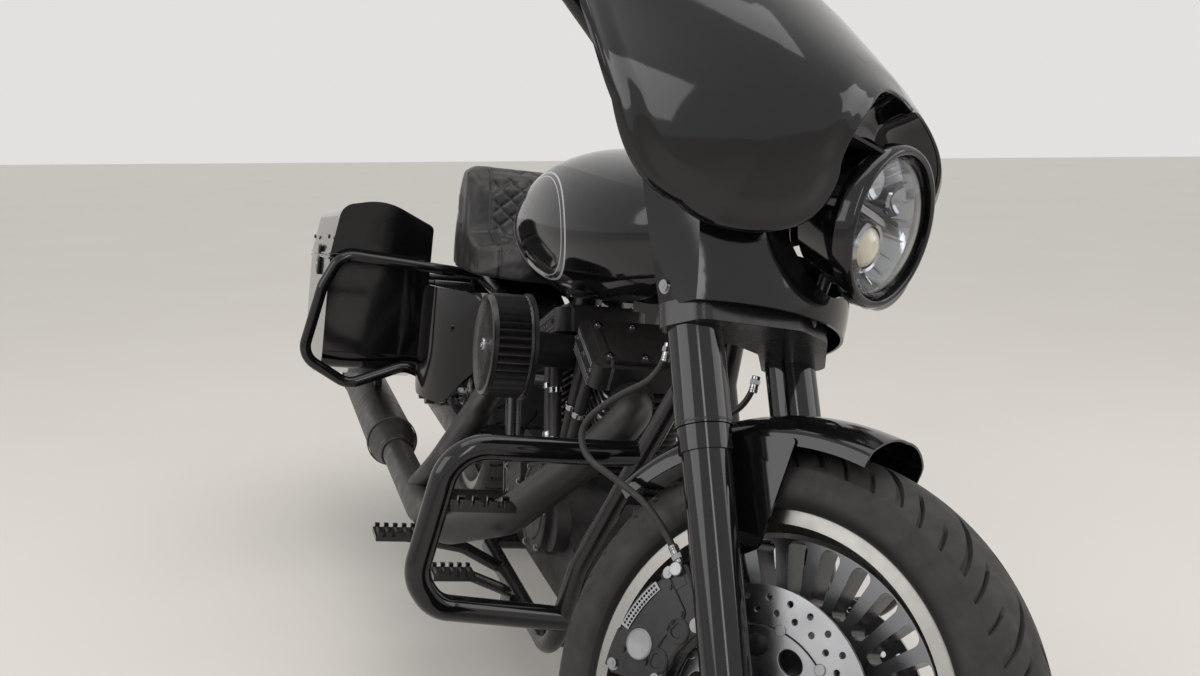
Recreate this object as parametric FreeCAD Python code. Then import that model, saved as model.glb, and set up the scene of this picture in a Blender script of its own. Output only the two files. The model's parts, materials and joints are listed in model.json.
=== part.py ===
import FreeCAD, Part
import math
import os

Vec = FreeCAD.Vector

# Driving dimensions in millimetres and degrees.
# X runs forward, Y to the rider's left and Z up, from the ground under the rear axle.
WHEELBASE = 1613.0
RAKE_DEG = 26.0
TRAIL = 170.0
FORK_ANGLE_DEG = 29.25
TYRE_RADIUS = 320.0
LEAN_DEG = 7.25
STEER_DEG = 36.5

# Fits
SEAT_GAP = 0.3
RUNNING_GAP = 5.0
SHEET = 3.0
CASE_WALL = 4.0

# Wheels
FRONT_TREAD_HALF = 66.0
FRONT_SHOULDER_RADIUS = 288.0
FRONT_BEAD_RADIUS = 229.0
TYRE_WALL = 11.0
REAR_TREAD_HALF = 88.0
REAR_SHOULDER_RADIUS = 282.0
REAR_BEAD_RADIUS = 205.0
RIM_SLOTS = 28
SLOT_WIDTH = 21.0
HUB_RADIUS = 46.0
AXLE_RADIUS = 12.5
DISC_RADIUS = 150.0
DISC_THICK = 5.0
CALIPER_RADIUS = 190.0
FRONT_HUB_HALF = 62.0
REAR_HUB_HALF = 84.0
FRONT_DISC_Y = 78.0
REAR_DISC_Y = 116.0
PULLEY_RADIUS = 138.0
PULLEY_Y = 118.0
BELT_WIDTH = 28.0
BELT_THICK = 5.0
GEARBOX_PULLEY_X = 610.0
GEARBOX_PULLEY_RADIUS = 46.0

# Fork and steering head
LEG_Y = 125.0
SLIDER_RADIUS = 30.0
FORK_TUBE_RADIUS = 24.5
COVER_RADIUS = 34.5
SLIDER_TOP_Z = 609.0
BAR_RADIUS = 12.7
STEM_RADIUS = 17.0
HEAD_RADIUS = 33.0
LOWER_CLAMP_Z = 748.0
UPPER_CLAMP_Z = 915.0
CLAMP_THICK = 30.0

# Frame
BACKBONE_RADIUS = 28.0
FRAME_TUBE_RADIUS = 16.0
CRADLE_Y = 150.0
CRADLE_Z = 172.0
CRADLE_FRONT_X = 1105.0
PILLAR_Y = 96.0
RAIL_Y = 122.0
RAIL_Z = 645.0
PIVOT_X = 500.0
PIVOT_Z = 330.0
ARM_IN_Y = 158.0
ARM_OUT_Y = 186.0

# Engine
CRANK_X = 820.0
CRANK_Z = 311.0
CRANKCASE_RADIUS = 106.0
CRANKCASE_HALF = 95.0
CYLINDER_HALF_ANGLE_DEG = 22.5
BARREL_RADIUS = 60.0
FIN_HALF = 74.0
FIN_COUNT = 10
FIN_PITCH = 12.0
FIN_THICK = 4.5
FIN_START = 136.0
HEAD_HEIGHT = 56.0
ROCKER_HEIGHT = 44.0
PUSHROD_RADIUS = 11.0
AIR_X = 838.0
AIR_Z = 605.0
AIR_RADIUS = 85.0
AIR_FACE_Y = -248.0
AIR_DEPTH = 72.0
INTAKE_Y = -15.0
INTAKE_Z = 590.0
INTAKE_REACH = 76.0
INTAKE_RADIUS = 20.0
PRIMARY_Y = 152.0
PRIMARY_DEPTH = 52.0

# Exhaust
PORT_Z = 556.0
PORT_REACH = 196.0
EXHAUST_Y = 300.0
EXHAUST_Z = 268.0
HEADER_RADIUS = 31.0
REAR_HEADER_RADIUS = 26.0
MUFFLER_RADIUS = 51.0
MUFFLER_FRONT_X = 310.0
MUFFLER_BACK_X = -430.0

# Saddlebags
BAG_INNER_Y = 240.0
BAG_OUTER_Y = 458.0
BAG_FRONT_X = 150.0
BAG_BACK_X = -395.0
BAG_FLOOR_Z = 352.0
BAG_FRONT_FOOT_Z = 410.0
BAG_FLOOR_BEND_X = -60.0
SEAM_FRONT_Z = 652.0
SEAM_BACK_Z = 592.0
LID_INNER_HEIGHT = 76.0
LID_CROWN_HEIGHT = 126.0
LID_OUTER_HEIGHT = 106.0
LID_TAPER = 18.0
LID_SEAM_GAP = 1.0
BAG_POST_X = (60.0, -55.0)
BAG_POST_Z = 596.0

# Fenders
FRONT_FENDER_RADIUS = 358.0
FRONT_FENDER_HALF = 78.0
REAR_FENDER_RADIUS = 348.0

# Guards
GUARD_RADIUS = 19.0
BAG_GUARD_RADIUS = 12.0
BAG_GUARD_X = 172.0

# Fairing and screen
FAIRING_WALL = 5.0
SCREEN_THICK = 4.0
DASH_BACK_X = 1240.0
DASH_FLOOR_Z = 990.0
DASH_TOP_Z = 1130.0
LOBE_Y = 212.0
VALLEY_Y = 325.0
TIP_Y = 450.0
FAIRING_SECTIONS = [
    # height, nose x, lobe x, valley x, tip x
    (800, 1505, 1420, 1400, 1400),
    (880, 1518, 1440, 1402, 1394),
    (960, 1532, 1458, 1390, 1366),
    (1040, 1532, 1440, 1344, 1300),
    (1120, 1438, 1356, 1288, 1240),
    (1240, 1252, 1190, 1150, 1110),
    (1330, 1118, 1070, 1040, 1010),
]

# Headlight
LAMP_X = 1531.0
LAMP_Z = 918.0
LAMP_RADIUS = 101.0
LAMP_DEPTH = 92.0

# Side stand
STAND_X = 1010.0
STAND_Y = 188.0
STAND_Z = 134.0
STAND_FOOT_X = 1085.0
STAND_FOOT_Y = 335.0
STAND_RADIUS = 11.0
STAND_FOOT_RADIUS = 27.0
STAND_FOOT_THICK = 7.0
STAND_BOSS_RADIUS = 17.0
STAND_EYE_HALF = 13.0

RAKE = math.radians(RAKE_DEG)
FORK_ANGLE = math.radians(FORK_ANGLE_DEG)
LEAN = math.radians(LEAN_DEG)
REAR_AXLE = Vec(0, 0, TYRE_RADIUS)
FRONT_AXLE = Vec(WHEELBASE, 0, TYRE_RADIUS)
HEAD_FOOT = Vec(WHEELBASE + TRAIL, 0, 0)
HEAD_AXIS = Vec(-math.sin(RAKE), 0, math.cos(RAKE))
HEAD_FORWARD = Vec(math.cos(RAKE), 0, math.sin(RAKE))
LEG_AXIS = Vec(-math.sin(FORK_ANGLE), 0, math.cos(FORK_ANGLE))
LEFT = Vec(0, 1, 0)


# Points and wires

def head_point(height):
    """The point of the steering axis at a height above the ground."""
    return HEAD_FOOT + HEAD_AXIS * (height / HEAD_AXIS.z)


def leg_point(height, side):
    """The point of a fork leg's centre line at a height; side is -1 on the right."""
    along = (height - TYRE_RADIUS) / LEG_AXIS.z
    return FRONT_AXLE + LEG_AXIS * along + LEFT * (side * LEG_Y)


def about(centre):
    """A function that places (y, radius) section points in the plane above a wheel centre."""
    return lambda y, r: Vec(centre.x, centre.y + y, centre.z + r)


def chain(place, start, steps):
    """A closed wire: a step of two numbers is a line, one of four an arc through the first two."""
    edges = []
    here = place(*start)
    for step in steps:
        end = place(*step[-2:])
        if len(step) == 2:
            edges.append(Part.LineSegment(here, end).toShape())
        else:
            edges.append(Part.Arc(here, place(*step[:2]), end).toShape())
        here = end
    return Part.Wire(edges)


def mirrored_chain(place, start, steps):
    """A closed wire from its right half, which starts and ends on the middle plane."""
    points = [start] + [step[-2:] for step in steps]
    back = []
    for index in range(len(steps) - 1, -1, -1):
        end = points[index]
        step = steps[index]
        if len(step) == 4:
            back.append((-step[0], step[1], -end[0], end[1]))
        else:
            back.append((-end[0], end[1]))
    return chain(place, start, list(steps) + back)


def rounded_wire(points, radii, closed):
    """Straight runs joined by tangent arcs, with one radius for each point."""
    count = len(points)
    entry = list(points)
    leave = list(points)
    arcs = {}
    corners = range(count) if closed else range(1, count - 1)
    for i in corners:
        back = points[i - 1] - points[i]
        ahead = points[(i + 1) % count] - points[i]
        turn = math.pi - back.getAngle(ahead)
        if turn < 0.01 or radii[i] <= 0:
            continue
        room = 0.45 * min(back.Length, ahead.Length)
        set_back = min(radii[i] * math.tan(turn / 2), room)
        radius = set_back / math.tan(turn / 2)
        back.normalize()
        ahead.normalize()
        inward = back + ahead
        inward.normalize()
        entry[i] = points[i] + back * set_back
        leave[i] = points[i] + ahead * set_back
        middle = points[i] + inward * (radius / math.cos(turn / 2) - radius)
        arcs[i] = Part.Arc(entry[i], middle, leave[i]).toShape()
    edges = []
    for i in range(count if closed else count - 1):
        after = (i + 1) % count
        edges.append(Part.LineSegment(leave[i], entry[after]).toShape())
        if after in arcs:
            edges.append(arcs[after])
    return Part.Wire(edges)


def outline(points, plane, level):
    """A flat closed wire from (u, v, corner radius) points; plane names the two axes."""
    place = {
        "xz": lambda u, v: Vec(u, level, v),
        "yz": lambda u, v: Vec(level, u, v),
        "xy": lambda u, v: Vec(u, v, level),
    }[plane]
    corners = [place(point[0], point[1]) for point in points]
    radii = [point[2] if len(point) > 2 else 0 for point in points]
    return rounded_wire(corners, radii, True)


# Solids

def plate(points, plane, low, high):
    """A flat plate between two levels across its plane."""
    normal = {"xz": Vec(0, 1, 0), "yz": Vec(1, 0, 0), "xy": Vec(0, 0, 1)}[plane]
    return Part.Face(outline(points, plane, low)).extrude(normal * (high - low))


def block(x0, x1, y0, y1, z0, z1):
    """A square block between two corners."""
    return Part.makeBox(x1 - x0, y1 - y0, z1 - z0, Vec(x0, y0, z0))


def rod(start, end, radius):
    """A round bar between two points."""
    return Part.makeCylinder(radius, (end - start).Length, start, end - start)


def bent_tube(points, radius, bend):
    """A round bar along straight runs joined by tangent arcs."""
    path = rounded_wire(points, [bend] * len(points), False)
    circle = Part.Wire(Part.makeCircle(radius, points[0], points[1] - points[0]))
    return path.makePipeShell([circle], True, False)


def wheel_ring(wire, centre, start_deg=0.0, sweep_deg=360.0):
    """A section drawn above a wheel centre and turned about the axle, from straight up backwards."""
    face = Part.Face(wire)
    face.rotate(centre, Vec(0, -1, 0), start_deg)
    return face.revolve(centre, Vec(0, -1, 0), sweep_deg)


def mirror(shape):
    """The same shape on the other side of the middle plane."""
    return shape.mirror(Vec(0, 0, 0), LEFT)


def both_sides(shape):
    """A right-hand shape and its left-hand twin, as two solids."""
    return Part.makeCompound([shape, mirror(shape)])


def join(shapes):
    """One solid from touching shapes."""
    return shapes[0].multiFuse(shapes[1:]).removeSplitter()


def circle_of(solid, centre, axis, count):
    """Copies of a solid turned evenly about an axis."""
    copies = []
    for index in range(count):
        copy = solid.copy()
        copy.rotate(centre, axis, 360.0 * index / count)
        copies.append(copy)
    return copies


# Wheels

def tread_points(tread_half, shoulder_radius):
    """The crown of a tyre in straight bands, from its middle to its right shoulder, as (y, radius)."""
    drop = TYRE_RADIUS - shoulder_radius
    crown = (tread_half * tread_half + drop * drop) / (2 * drop)
    points = []
    for share in (0.0, 0.34, 0.68, 1.0):
        y = tread_half * share
        points.append((-y, TYRE_RADIUS - crown + math.sqrt(crown * crown - y * y)))
    return points


def tyre(centre, tread_half, shoulder_radius, bead_radius):
    """A tubeless tyre: round crown, bulged sidewalls and a hollow inside, open at the beads."""
    side_half = tread_half + 5
    side_radius = (shoulder_radius + bead_radius) / 2 + 4
    bead_out = tread_half - 16
    bead_in = bead_out - 9
    crown = tread_points(tread_half, shoulder_radius)
    wire = mirrored_chain(about(centre), crown[0], crown[1:] + [
        (-side_half, side_radius),
        (-bead_out, bead_radius + 12),
        (-bead_out, bead_radius),
        (-bead_in, bead_radius),
        (-side_half + TYRE_WALL, side_radius),
        (-tread_half + TYRE_WALL, shoulder_radius - 6),
        (0, TYRE_RADIUS - TYRE_WALL),
    ])
    return wheel_ring(wire, centre)


def rim(centre, tread_half, bead_radius, slot_in, slot_out, hub_half):
    """A cast wheel: flanges, drop centre, a slotted web and a hub bored for the axle."""
    seat = bead_radius - SEAT_GAP
    bead_out = tread_half - 16
    flange = bead_radius + 13
    web_half = 17.0
    wire = mirrored_chain(about(centre), (0, seat - 14), [
        (-bead_out + 24, seat - 14),
        (-bead_out + 14, seat),
        (-bead_out - SEAT_GAP, seat),
        (-bead_out - SEAT_GAP, flange - 4),
        (-bead_out - 3, flange, -bead_out - 7, flange - 4),
        (-bead_out - 7, seat - 6),
        (-web_half - 12, seat - 16),
        (-web_half - 6, seat - 22),
        (-web_half, slot_in - 12),
        (-hub_half + 8, HUB_RADIUS + 16),
        (-hub_half, HUB_RADIUS),
        (-hub_half, AXLE_RADIUS + SEAT_GAP),
        (0, AXLE_RADIUS + SEAT_GAP),
    ])
    wheel = wheel_ring(wire, centre)
    half = SLOT_WIDTH / 2
    inner = centre.z + slot_in
    outer = centre.z + slot_out
    slot = plate([
        (centre.x - half * 0.8, inner, half * 0.7),
        (centre.x + half * 0.8, inner, half * 0.7),
        (centre.x + half * 1.3, outer, half),
        (centre.x - half * 1.3, outer, half),
    ], "xz", -60, 60)
    return wheel.cut(Part.makeCompound(circle_of(slot, centre, LEFT, RIM_SLOTS)))


def brake_disc(centre, y, radius, thick, hub_side, hub_y):
    """A brake rotor on a five-armed carrier that reaches inwards to the hub's face."""
    near = rod(centre + LEFT * (y - thick / 2), centre + LEFT * (y + thick / 2), radius)
    near = near.cut(rod(centre + LEFT * (y - thick), centre + LEFT * (y + thick), radius - 52))
    arm = block(centre.x - 13, centre.x + 13, y - thick / 2, y + thick / 2,
                centre.z + HUB_RADIUS - 12, centre.z + radius - 50)
    arms = circle_of(arm, centre, LEFT, 5)
    face = y + hub_side * thick / 2
    low, high = sorted([face, hub_y])
    bell = rod(centre + LEFT * min(low, y - thick / 2), centre + LEFT * max(high, y + thick / 2), HUB_RADIUS - 6)
    disc = join([near] + arms + [bell])
    return disc.cut(rod(centre + LEFT * (y - 60), centre + LEFT * (y + 60), AXLE_RADIUS + SEAT_GAP))


def front_tyre():
    return tyre(FRONT_AXLE, FRONT_TREAD_HALF, FRONT_SHOULDER_RADIUS, FRONT_BEAD_RADIUS)


def rear_tyre():
    return tyre(REAR_AXLE, REAR_TREAD_HALF, REAR_SHOULDER_RADIUS, REAR_BEAD_RADIUS)


def front_rim():
    return rim(FRONT_AXLE, FRONT_TREAD_HALF, FRONT_BEAD_RADIUS, 136.0, 205.0, FRONT_HUB_HALF)


def rear_rim():
    return rim(REAR_AXLE, REAR_TREAD_HALF, REAR_BEAD_RADIUS, 112.0, 180.0, REAR_HUB_HALF)


def front_discs():
    right = brake_disc(FRONT_AXLE, -FRONT_DISC_Y, DISC_RADIUS, DISC_THICK, 1, -FRONT_HUB_HALF)
    return both_sides(right)


def rear_pulley_disc():
    """The belt pulley on the left and the brake rotor on the right, each bolted to the hub."""
    disc = brake_disc(REAR_AXLE, -REAR_DISC_Y, DISC_RADIUS - 4, DISC_THICK, 1, -REAR_HUB_HALF)
    low = PULLEY_Y
    high = PULLEY_Y + BELT_WIDTH
    pulley = rod(REAR_AXLE + LEFT * low, REAR_AXLE + LEFT * high, PULLEY_RADIUS)
    pulley = pulley.cut(rod(REAR_AXLE + LEFT * (low - 1), REAR_AXLE + LEFT * (high + 1), PULLEY_RADIUS - 12))
    spoke = block(-12, 12, low + 6, high - 6, TYRE_RADIUS + HUB_RADIUS - 12, TYRE_RADIUS + PULLEY_RADIUS - 8)
    hub = rod(REAR_AXLE + LEFT * REAR_HUB_HALF, REAR_AXLE + LEFT * high, HUB_RADIUS - 6)
    pulley = join([pulley, hub] + circle_of(spoke, REAR_AXLE, LEFT, 7))
    pulley = pulley.cut(rod(REAR_AXLE, REAR_AXLE + LEFT * 200, AXLE_RADIUS + SEAT_GAP))
    return Part.makeCompound([disc, pulley])


# Frame and swingarm

def backbone_points():
    return [head_point(838), Vec(612, 0, 745), Vec(512, 0, 470)]


def neck_point(forward, along):
    """A point given from the lower clamp's middle, square to and along the steering axis."""
    return head_point(LOWER_CLAMP_Z) + HEAD_FORWARD * forward + HEAD_AXIS * along


def frame_tubes():
    """The head tube, backbone, double cradle, seat rails and saddlebag posts, as one welded frame."""
    head = rod(head_point(LOWER_CLAMP_Z + 24), head_point(UPPER_CLAMP_Z - 24), HEAD_RADIUS)
    backbone = bent_tube(backbone_points(), BACKBONE_RADIUS, 90)
    loop = bent_tube([
        head_point(850) - LEFT * 10,
        neck_point(-150, 60) - LEFT * 22,
        neck_point(-224, -12) - LEFT * 32,
        Vec(1150, -135, 330),
        Vec(CRADLE_FRONT_X, -CRADLE_Y, CRADLE_Z),
        Vec(604, -CRADLE_Y, CRADLE_Z),
        Vec(545, -PILLAR_Y - 2, 215),
        Vec(442, -PILLAR_Y, 480),
        Vec(420, -RAIL_Y, RAIL_Z - 20),
        Vec(-60, -RAIL_Y, RAIL_Z),
    ], FRAME_TUBE_RADIUS, 60)
    cross_radius = FRAME_TUBE_RADIUS
    front_cross = rod(Vec(1050, -CRADLE_Y, CRADLE_Z), Vec(1050, CRADLE_Y, CRADLE_Z), cross_radius)
    rear_cross = rod(Vec(590, -CRADLE_Y, CRADLE_Z), Vec(590, CRADLE_Y, CRADLE_Z), cross_radius)
    seat_cross = rod(Vec(424, -RAIL_Y, 604), Vec(424, RAIL_Y, 604), cross_radius)
    spine_cross = rod(Vec(512, 0, 478), Vec(446, -PILLAR_Y, 470), cross_radius)
    pivot_tube = rod(Vec(PIVOT_X, -ARM_IN_Y + SEAT_GAP, PIVOT_Z), Vec(PIVOT_X, ARM_IN_Y - SEAT_GAP, PIVOT_Z), 18)
    parts = [head, backbone, loop, mirror(loop), front_cross, rear_cross, seat_cross,
             spine_cross, mirror(spine_cross), pivot_tube]
    for x in BAG_POST_X:
        drop = block(x - 12, x + 12, -RAIL_Y - 5, -RAIL_Y + FRAME_TUBE_RADIUS, BAG_POST_Z - 10, RAIL_Z)
        post = rod(Vec(x, -RAIL_Y, BAG_POST_Z), Vec(x, -BAG_INNER_Y + SEAT_GAP, BAG_POST_Z), 9)
        parts += [drop, mirror(drop), post, mirror(post)]
    stem_bore = rod(head_point(LOWER_CLAMP_Z), head_point(UPPER_CLAMP_Z), STEM_RADIUS + SEAT_GAP)
    return join(parts + [stand_lug()]).cut(stem_bore)


def stand_lug():
    """The lug on the left cradle tube that carries the side stand from above."""
    pivot = stand_pivot()
    axis = stand_axis()
    face = pivot + axis * (STAND_EYE_HALF + SEAT_GAP)
    boss = rod(face, face + axis * 12, STAND_BOSS_RADIUS)
    arm = rod(Vec(STAND_X, CRADLE_Y, CRADLE_Z), face + axis * 10, 11)
    room = rod(pivot - axis * 40, face, STAND_BOSS_RADIUS + RUNNING_GAP)
    return join([boss, arm]).cut(room)


def swingarm():
    """A box-section swingarm with its pivot tube and the rear axle through its ends."""
    arm = plate([
        (-42, TYRE_RADIUS - 26, 20), (-42, TYRE_RADIUS + 26, 20), (260, PIVOT_Z + 32, 30),
        (PIVOT_X + 30, PIVOT_Z + 26, 24), (PIVOT_X + 30, PIVOT_Z - 26, 24), (260, PIVOT_Z - 34, 30),
    ], "xz", -ARM_OUT_Y, -ARM_IN_Y)
    cross = rod(Vec(390, -ARM_IN_Y, PIVOT_Z), Vec(390, ARM_IN_Y, PIVOT_Z), 24)
    axle = rod(REAR_AXLE - LEFT * 198, REAR_AXLE + LEFT * 198, AXLE_RADIUS)
    nut = Part.makeCylinder(19, 12, REAR_AXLE - LEFT * 198, LEFT)
    return join([arm, mirror(arm), cross, axle, nut, mirror(nut)])


def rear_caliper():
    """The rear brake caliper, which straddles the rotor and sits on the swingarm's right arm."""
    body = plate([(30, 402, 8), (110, 366, 8), (150, 420, 10), (70, 462, 10)], "xz", -ARM_IN_Y + SEAT_GAP, -98)
    ear = plate([(34, 326, 8), (96, 330, 8), (116, 392, 8), (40, 420, 8)], "xz", -ARM_IN_Y + SEAT_GAP, -ARM_IN_Y + 10)
    slot = rod(REAR_AXLE - LEFT * (REAR_DISC_Y + DISC_THICK / 2 + RUNNING_GAP),
               REAR_AXLE - LEFT * (REAR_DISC_Y - DISC_THICK / 2 - RUNNING_GAP), DISC_RADIUS + 3)
    return join([body.cut(slot), ear])


def rear_shocks():
    """Two air shocks with ribbed bellows between the swingarm and the seat rails."""
    low = Vec(70, -205, TYRE_RADIUS + 24)
    high = Vec(130, -205, 600)
    along = high - low
    along.normalize()
    core = rod(low, high, 17)
    ribs = [Part.makeCylinder(25, 12, low + along * (50 + 22 * step), along) for step in range(7)]
    eye_low = rod(Vec(low.x, -186, low.z), Vec(low.x, -224, low.z), 15)
    eye_high = rod(Vec(high.x, -RAIL_Y - 12, high.z), Vec(high.x, -224, high.z), 15)
    return join([core, eye_low, eye_high] + ribs)


def rear_fender():
    """A deep rear fender: a rolled sheet with flat skirts, held between the seat rails."""
    half = RAIL_Y - FRAME_TUBE_RADIUS - SEAT_GAP
    outer = REAR_FENDER_RADIUS
    wire = mirrored_chain(about(REAR_AXLE), (0, outer), [
        (-half * 0.6, outer - 7, -half + 12, outer - 18),
        (-half + 3, outer - 24, -half, outer - 34),
        (-half, outer - 70),
        (-half + SHEET, outer - 70),
        (-half + SHEET, outer - 34),
        (-half + 5.5, outer - 26, -half + 13.5, outer - 20.6),
        (-half * 0.6, outer - 7 - SHEET, 0, outer - SHEET),
    ])
    return wheel_ring(wire, REAR_AXLE, -32, 108)


def rear_lamps():
    """A tail lamp, a bare plate bracket and two turn signals at the rear of the fender."""
    turn = math.radians(62)
    seat = REAR_AXLE + Vec(-math.sin(turn), 0, math.cos(turn)) * (REAR_FENDER_RADIUS - 1)
    out = Vec(-math.sin(turn), 0, math.cos(turn))
    lamp = plate([(seat.x - 62, seat.z - 14, 12), (seat.x + 14, seat.z - 26, 6),
                  (seat.x + 40, seat.z + 34, 12), (seat.x - 40, seat.z + 52, 14)], "xz", -48, 48)
    stalk = rod(seat + out * 22 - LEFT * 40, seat + out * 22 - LEFT * 128, 7)
    signal = Part.makeCylinder(24, 42, seat + out * 22 - LEFT * 128 - Vec(14, 0, 0), Vec(1, 0, 0))
    bracket = plate([(seat.x - 58, seat.z - 4), (seat.x - 54, seat.z - 4),
                     (seat.x - 76, seat.z - 128), (seat.x - 80, seat.z - 128)], "xz", -90, 90)
    lamps = join([lamp, stalk, mirror(stalk), signal, mirror(signal), bracket])
    return lamps.cut(rod(REAR_AXLE - LEFT * 200, REAR_AXLE + LEFT * 200, REAR_FENDER_RADIUS + SEAT_GAP))


# Engine

def crankcase():
    """The lower engine as one closed mass: crankcase, gearbox, cam cover and oil filter."""
    crank = rod(Vec(CRANK_X, -CRANKCASE_HALF, CRANK_Z), Vec(CRANK_X, CRANKCASE_HALF, CRANK_Z), CRANKCASE_RADIUS)
    floor_z = CRADLE_Z + FRAME_TUBE_RADIUS + SEAT_GAP
    case = plate([
        (1070, floor_z, 12), (1070, floor_z + 62, 16), (940, floor_z + 130, 30),
        (760, 400, 20), (572, 398, 24), (566, floor_z + 60, 30), (592, floor_z, 20),
    ], "xz", -CRANKCASE_HALF, CRANKCASE_HALF)
    cam_cover = rod(Vec(CRANK_X + 10, -CRANKCASE_HALF - 32, CRANK_Z + 10),
                    Vec(CRANK_X + 10, -CRANKCASE_HALF, CRANK_Z + 10), 84)
    cam_nose = rod(Vec(CRANK_X + 92, -CRANKCASE_HALF - 24, CRANK_Z + 4),
                   Vec(CRANK_X + 92, -CRANKCASE_HALF, CRANK_Z + 4), 46)
    gear_cover = rod(Vec(600, -CRANKCASE_HALF - 20, 312), Vec(600, -CRANKCASE_HALF, 312), 62)
    oil_filter = rod(Vec(1060, -30, 262), Vec(1128, -30, 268), 36)
    tappet = block(CRANK_X - 82, CRANK_X + 82, -CRANKCASE_HALF - 14, -CRANKCASE_HALF + 20, 350, 420)
    return join([crank, case, cam_cover, cam_nose, gear_cover, oil_filter, tappet])


def intake_runner(radius):
    """The intake manifold's straight runner between the two heads."""
    return rod(Vec(CRANK_X - INTAKE_REACH, INTAKE_Y, INTAKE_Z), Vec(CRANK_X + INTAKE_REACH, INTAKE_Y, INTAKE_Z), radius)


def exhaust_port(side, radius):
    """A round boss on a head that stands clear of the fins; side is 1 in front."""
    start = Vec(CRANK_X + side * 110, -30, PORT_Z)
    return rod(start, Vec(CRANK_X + side * PORT_REACH, -34, PORT_Z), radius)


def cylinder(side):
    """One air-cooled cylinder of the V: finned barrel and head, rocker box and pushrod tubes."""
    tilt = side * math.radians(CYLINDER_HALF_ANGLE_DEG)
    foot = Vec(CRANK_X, 0, CRANK_Z)
    turn = math.degrees(tilt)

    def level(low, high, half_x, half_right, half_left, corner):
        shape = plate([
            (CRANK_X - half_x, -half_right, corner), (CRANK_X + half_x, -half_right, corner),
            (CRANK_X + half_x, half_left, corner), (CRANK_X - half_x, half_left, corner),
        ], "xy", CRANK_Z + low, CRANK_Z + high)
        shape.rotate(foot, LEFT, turn)
        return shape

    head_start = FIN_START + FIN_COUNT * FIN_PITCH
    rocker_start = head_start + HEAD_HEIGHT
    axis = Vec(math.sin(tilt), 0, math.cos(tilt))
    fins = []
    for index in range(FIN_COUNT):
        low = FIN_START + index * FIN_PITCH
        fins.append(level(low, low + FIN_THICK, FIN_HALF, FIN_HALF, FIN_HALF, 24))
    for index in range(4):
        low = head_start + index * HEAD_HEIGHT / 4
        fins.append(level(low, low + FIN_THICK, FIN_HALF + 2, FIN_HALF + 4, FIN_HALF + 4, 16))
    fins = Part.makeCompound(fins).cut(intake_runner(INTAKE_RADIUS + 3))
    barrel = rod(foot + axis * (CRANKCASE_RADIUS - 20), foot + axis * rocker_start, BARREL_RADIUS)
    parts = [barrel, exhaust_port(side, HEADER_RADIUS + 5)] + fins.Solids
    rocker = level(rocker_start, rocker_start + ROCKER_HEIGHT, FIN_HALF - 4, 106, 66, 18)
    cap = level(rocker_start + ROCKER_HEIGHT, rocker_start + ROCKER_HEIGHT + 8, FIN_HALF - 14, 90, 52, 14)
    parts += [rocker, cap]
    reach = rocker_start * math.cos(tilt)
    for low_x, high_x in [(26, 96), (62, 148)]:
        low_point = Vec(CRANK_X + side * low_x, -CRANKCASE_HALF + 2, 420)
        high_point = Vec(CRANK_X + side * high_x, -CRANKCASE_HALF + 2, CRANK_Z + reach + 24)
        parts.append(rod(low_point, high_point, PUSHROD_RADIUS))
    return join(parts)


def engine_cylinders():
    """Both cylinders, parted at the middle of the V and seated on the crankcase."""
    case = crankcase()
    solids = []
    for side in (-1, 1):
        edge = CRANK_X + side * 2
        keep = block(min(edge, edge + side * 400), max(edge, edge + side * 400), -200, 200, 200, 800)
        solids.append(cylinder(side).cut(case).common(keep))
    return Part.makeCompound(solids)


def primary_cover():
    """The long primary chaincase on the left with its round derby cover."""
    low = PRIMARY_Y
    high = PRIMARY_Y + PRIMARY_DEPTH
    rear_x = 624.0
    case = plate([
        (CRANK_X + 96, CRANK_Z - 94, 90), (CRANK_X + 96, CRANK_Z + 94, 90),
        (rear_x - 84, CRANK_Z + 84, 80), (rear_x - 84, CRANK_Z - 84, 80),
    ], "xz", low, high)
    neck = rod(Vec(CRANK_X, CRANKCASE_HALF, CRANK_Z), Vec(CRANK_X, low, CRANK_Z), 84)
    derby = rod(Vec(rear_x + 8, high, CRANK_Z), Vec(rear_x + 8, high + 8, CRANK_Z), 66)
    bulge = rod(Vec(CRANK_X, high, CRANK_Z), Vec(CRANK_X, high + 6, CRANK_Z), 74)
    return join([case, neck, derby, bulge])


def air_filter():
    """A round filter: a flat front plate, a pleated element, a back plate and the intake."""
    back_y = AIR_FACE_Y + AIR_DEPTH
    centre = Vec(AIR_X, 0, AIR_Z)
    front = rod(centre + LEFT * AIR_FACE_Y, centre + LEFT * (AIR_FACE_Y + 6), AIR_RADIUS)
    back = rod(centre + LEFT * (back_y - 6), centre + LEFT * back_y, AIR_RADIUS + 6)
    pleats = 40
    points = []
    for index in range(2 * pleats):
        radius = AIR_RADIUS + 3 if index % 2 == 0 else AIR_RADIUS - 6
        turn = math.pi * index / pleats
        points.append((AIR_X + radius * math.cos(turn), AIR_Z + radius * math.sin(turn)))
    element = plate(points, "xz", AIR_FACE_Y + 6, back_y - 6)
    fin_edge = -FIN_HALF - 10
    throat = rod(centre + LEFT * (back_y - 1), Vec(AIR_X - 6, fin_edge, AIR_Z - 6), 30)
    neck = rod(Vec(AIR_X - 8, fin_edge - 2, AIR_Z - 7), Vec(CRANK_X, INTAKE_Y, INTAKE_Z), INTAKE_RADIUS)
    runner = intake_runner(INTAKE_RADIUS)
    whole = join([front, back, element, throat, neck, runner])
    for solid in engine_cylinders().Solids:
        whole = whole.cut(solid)
    return whole


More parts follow.
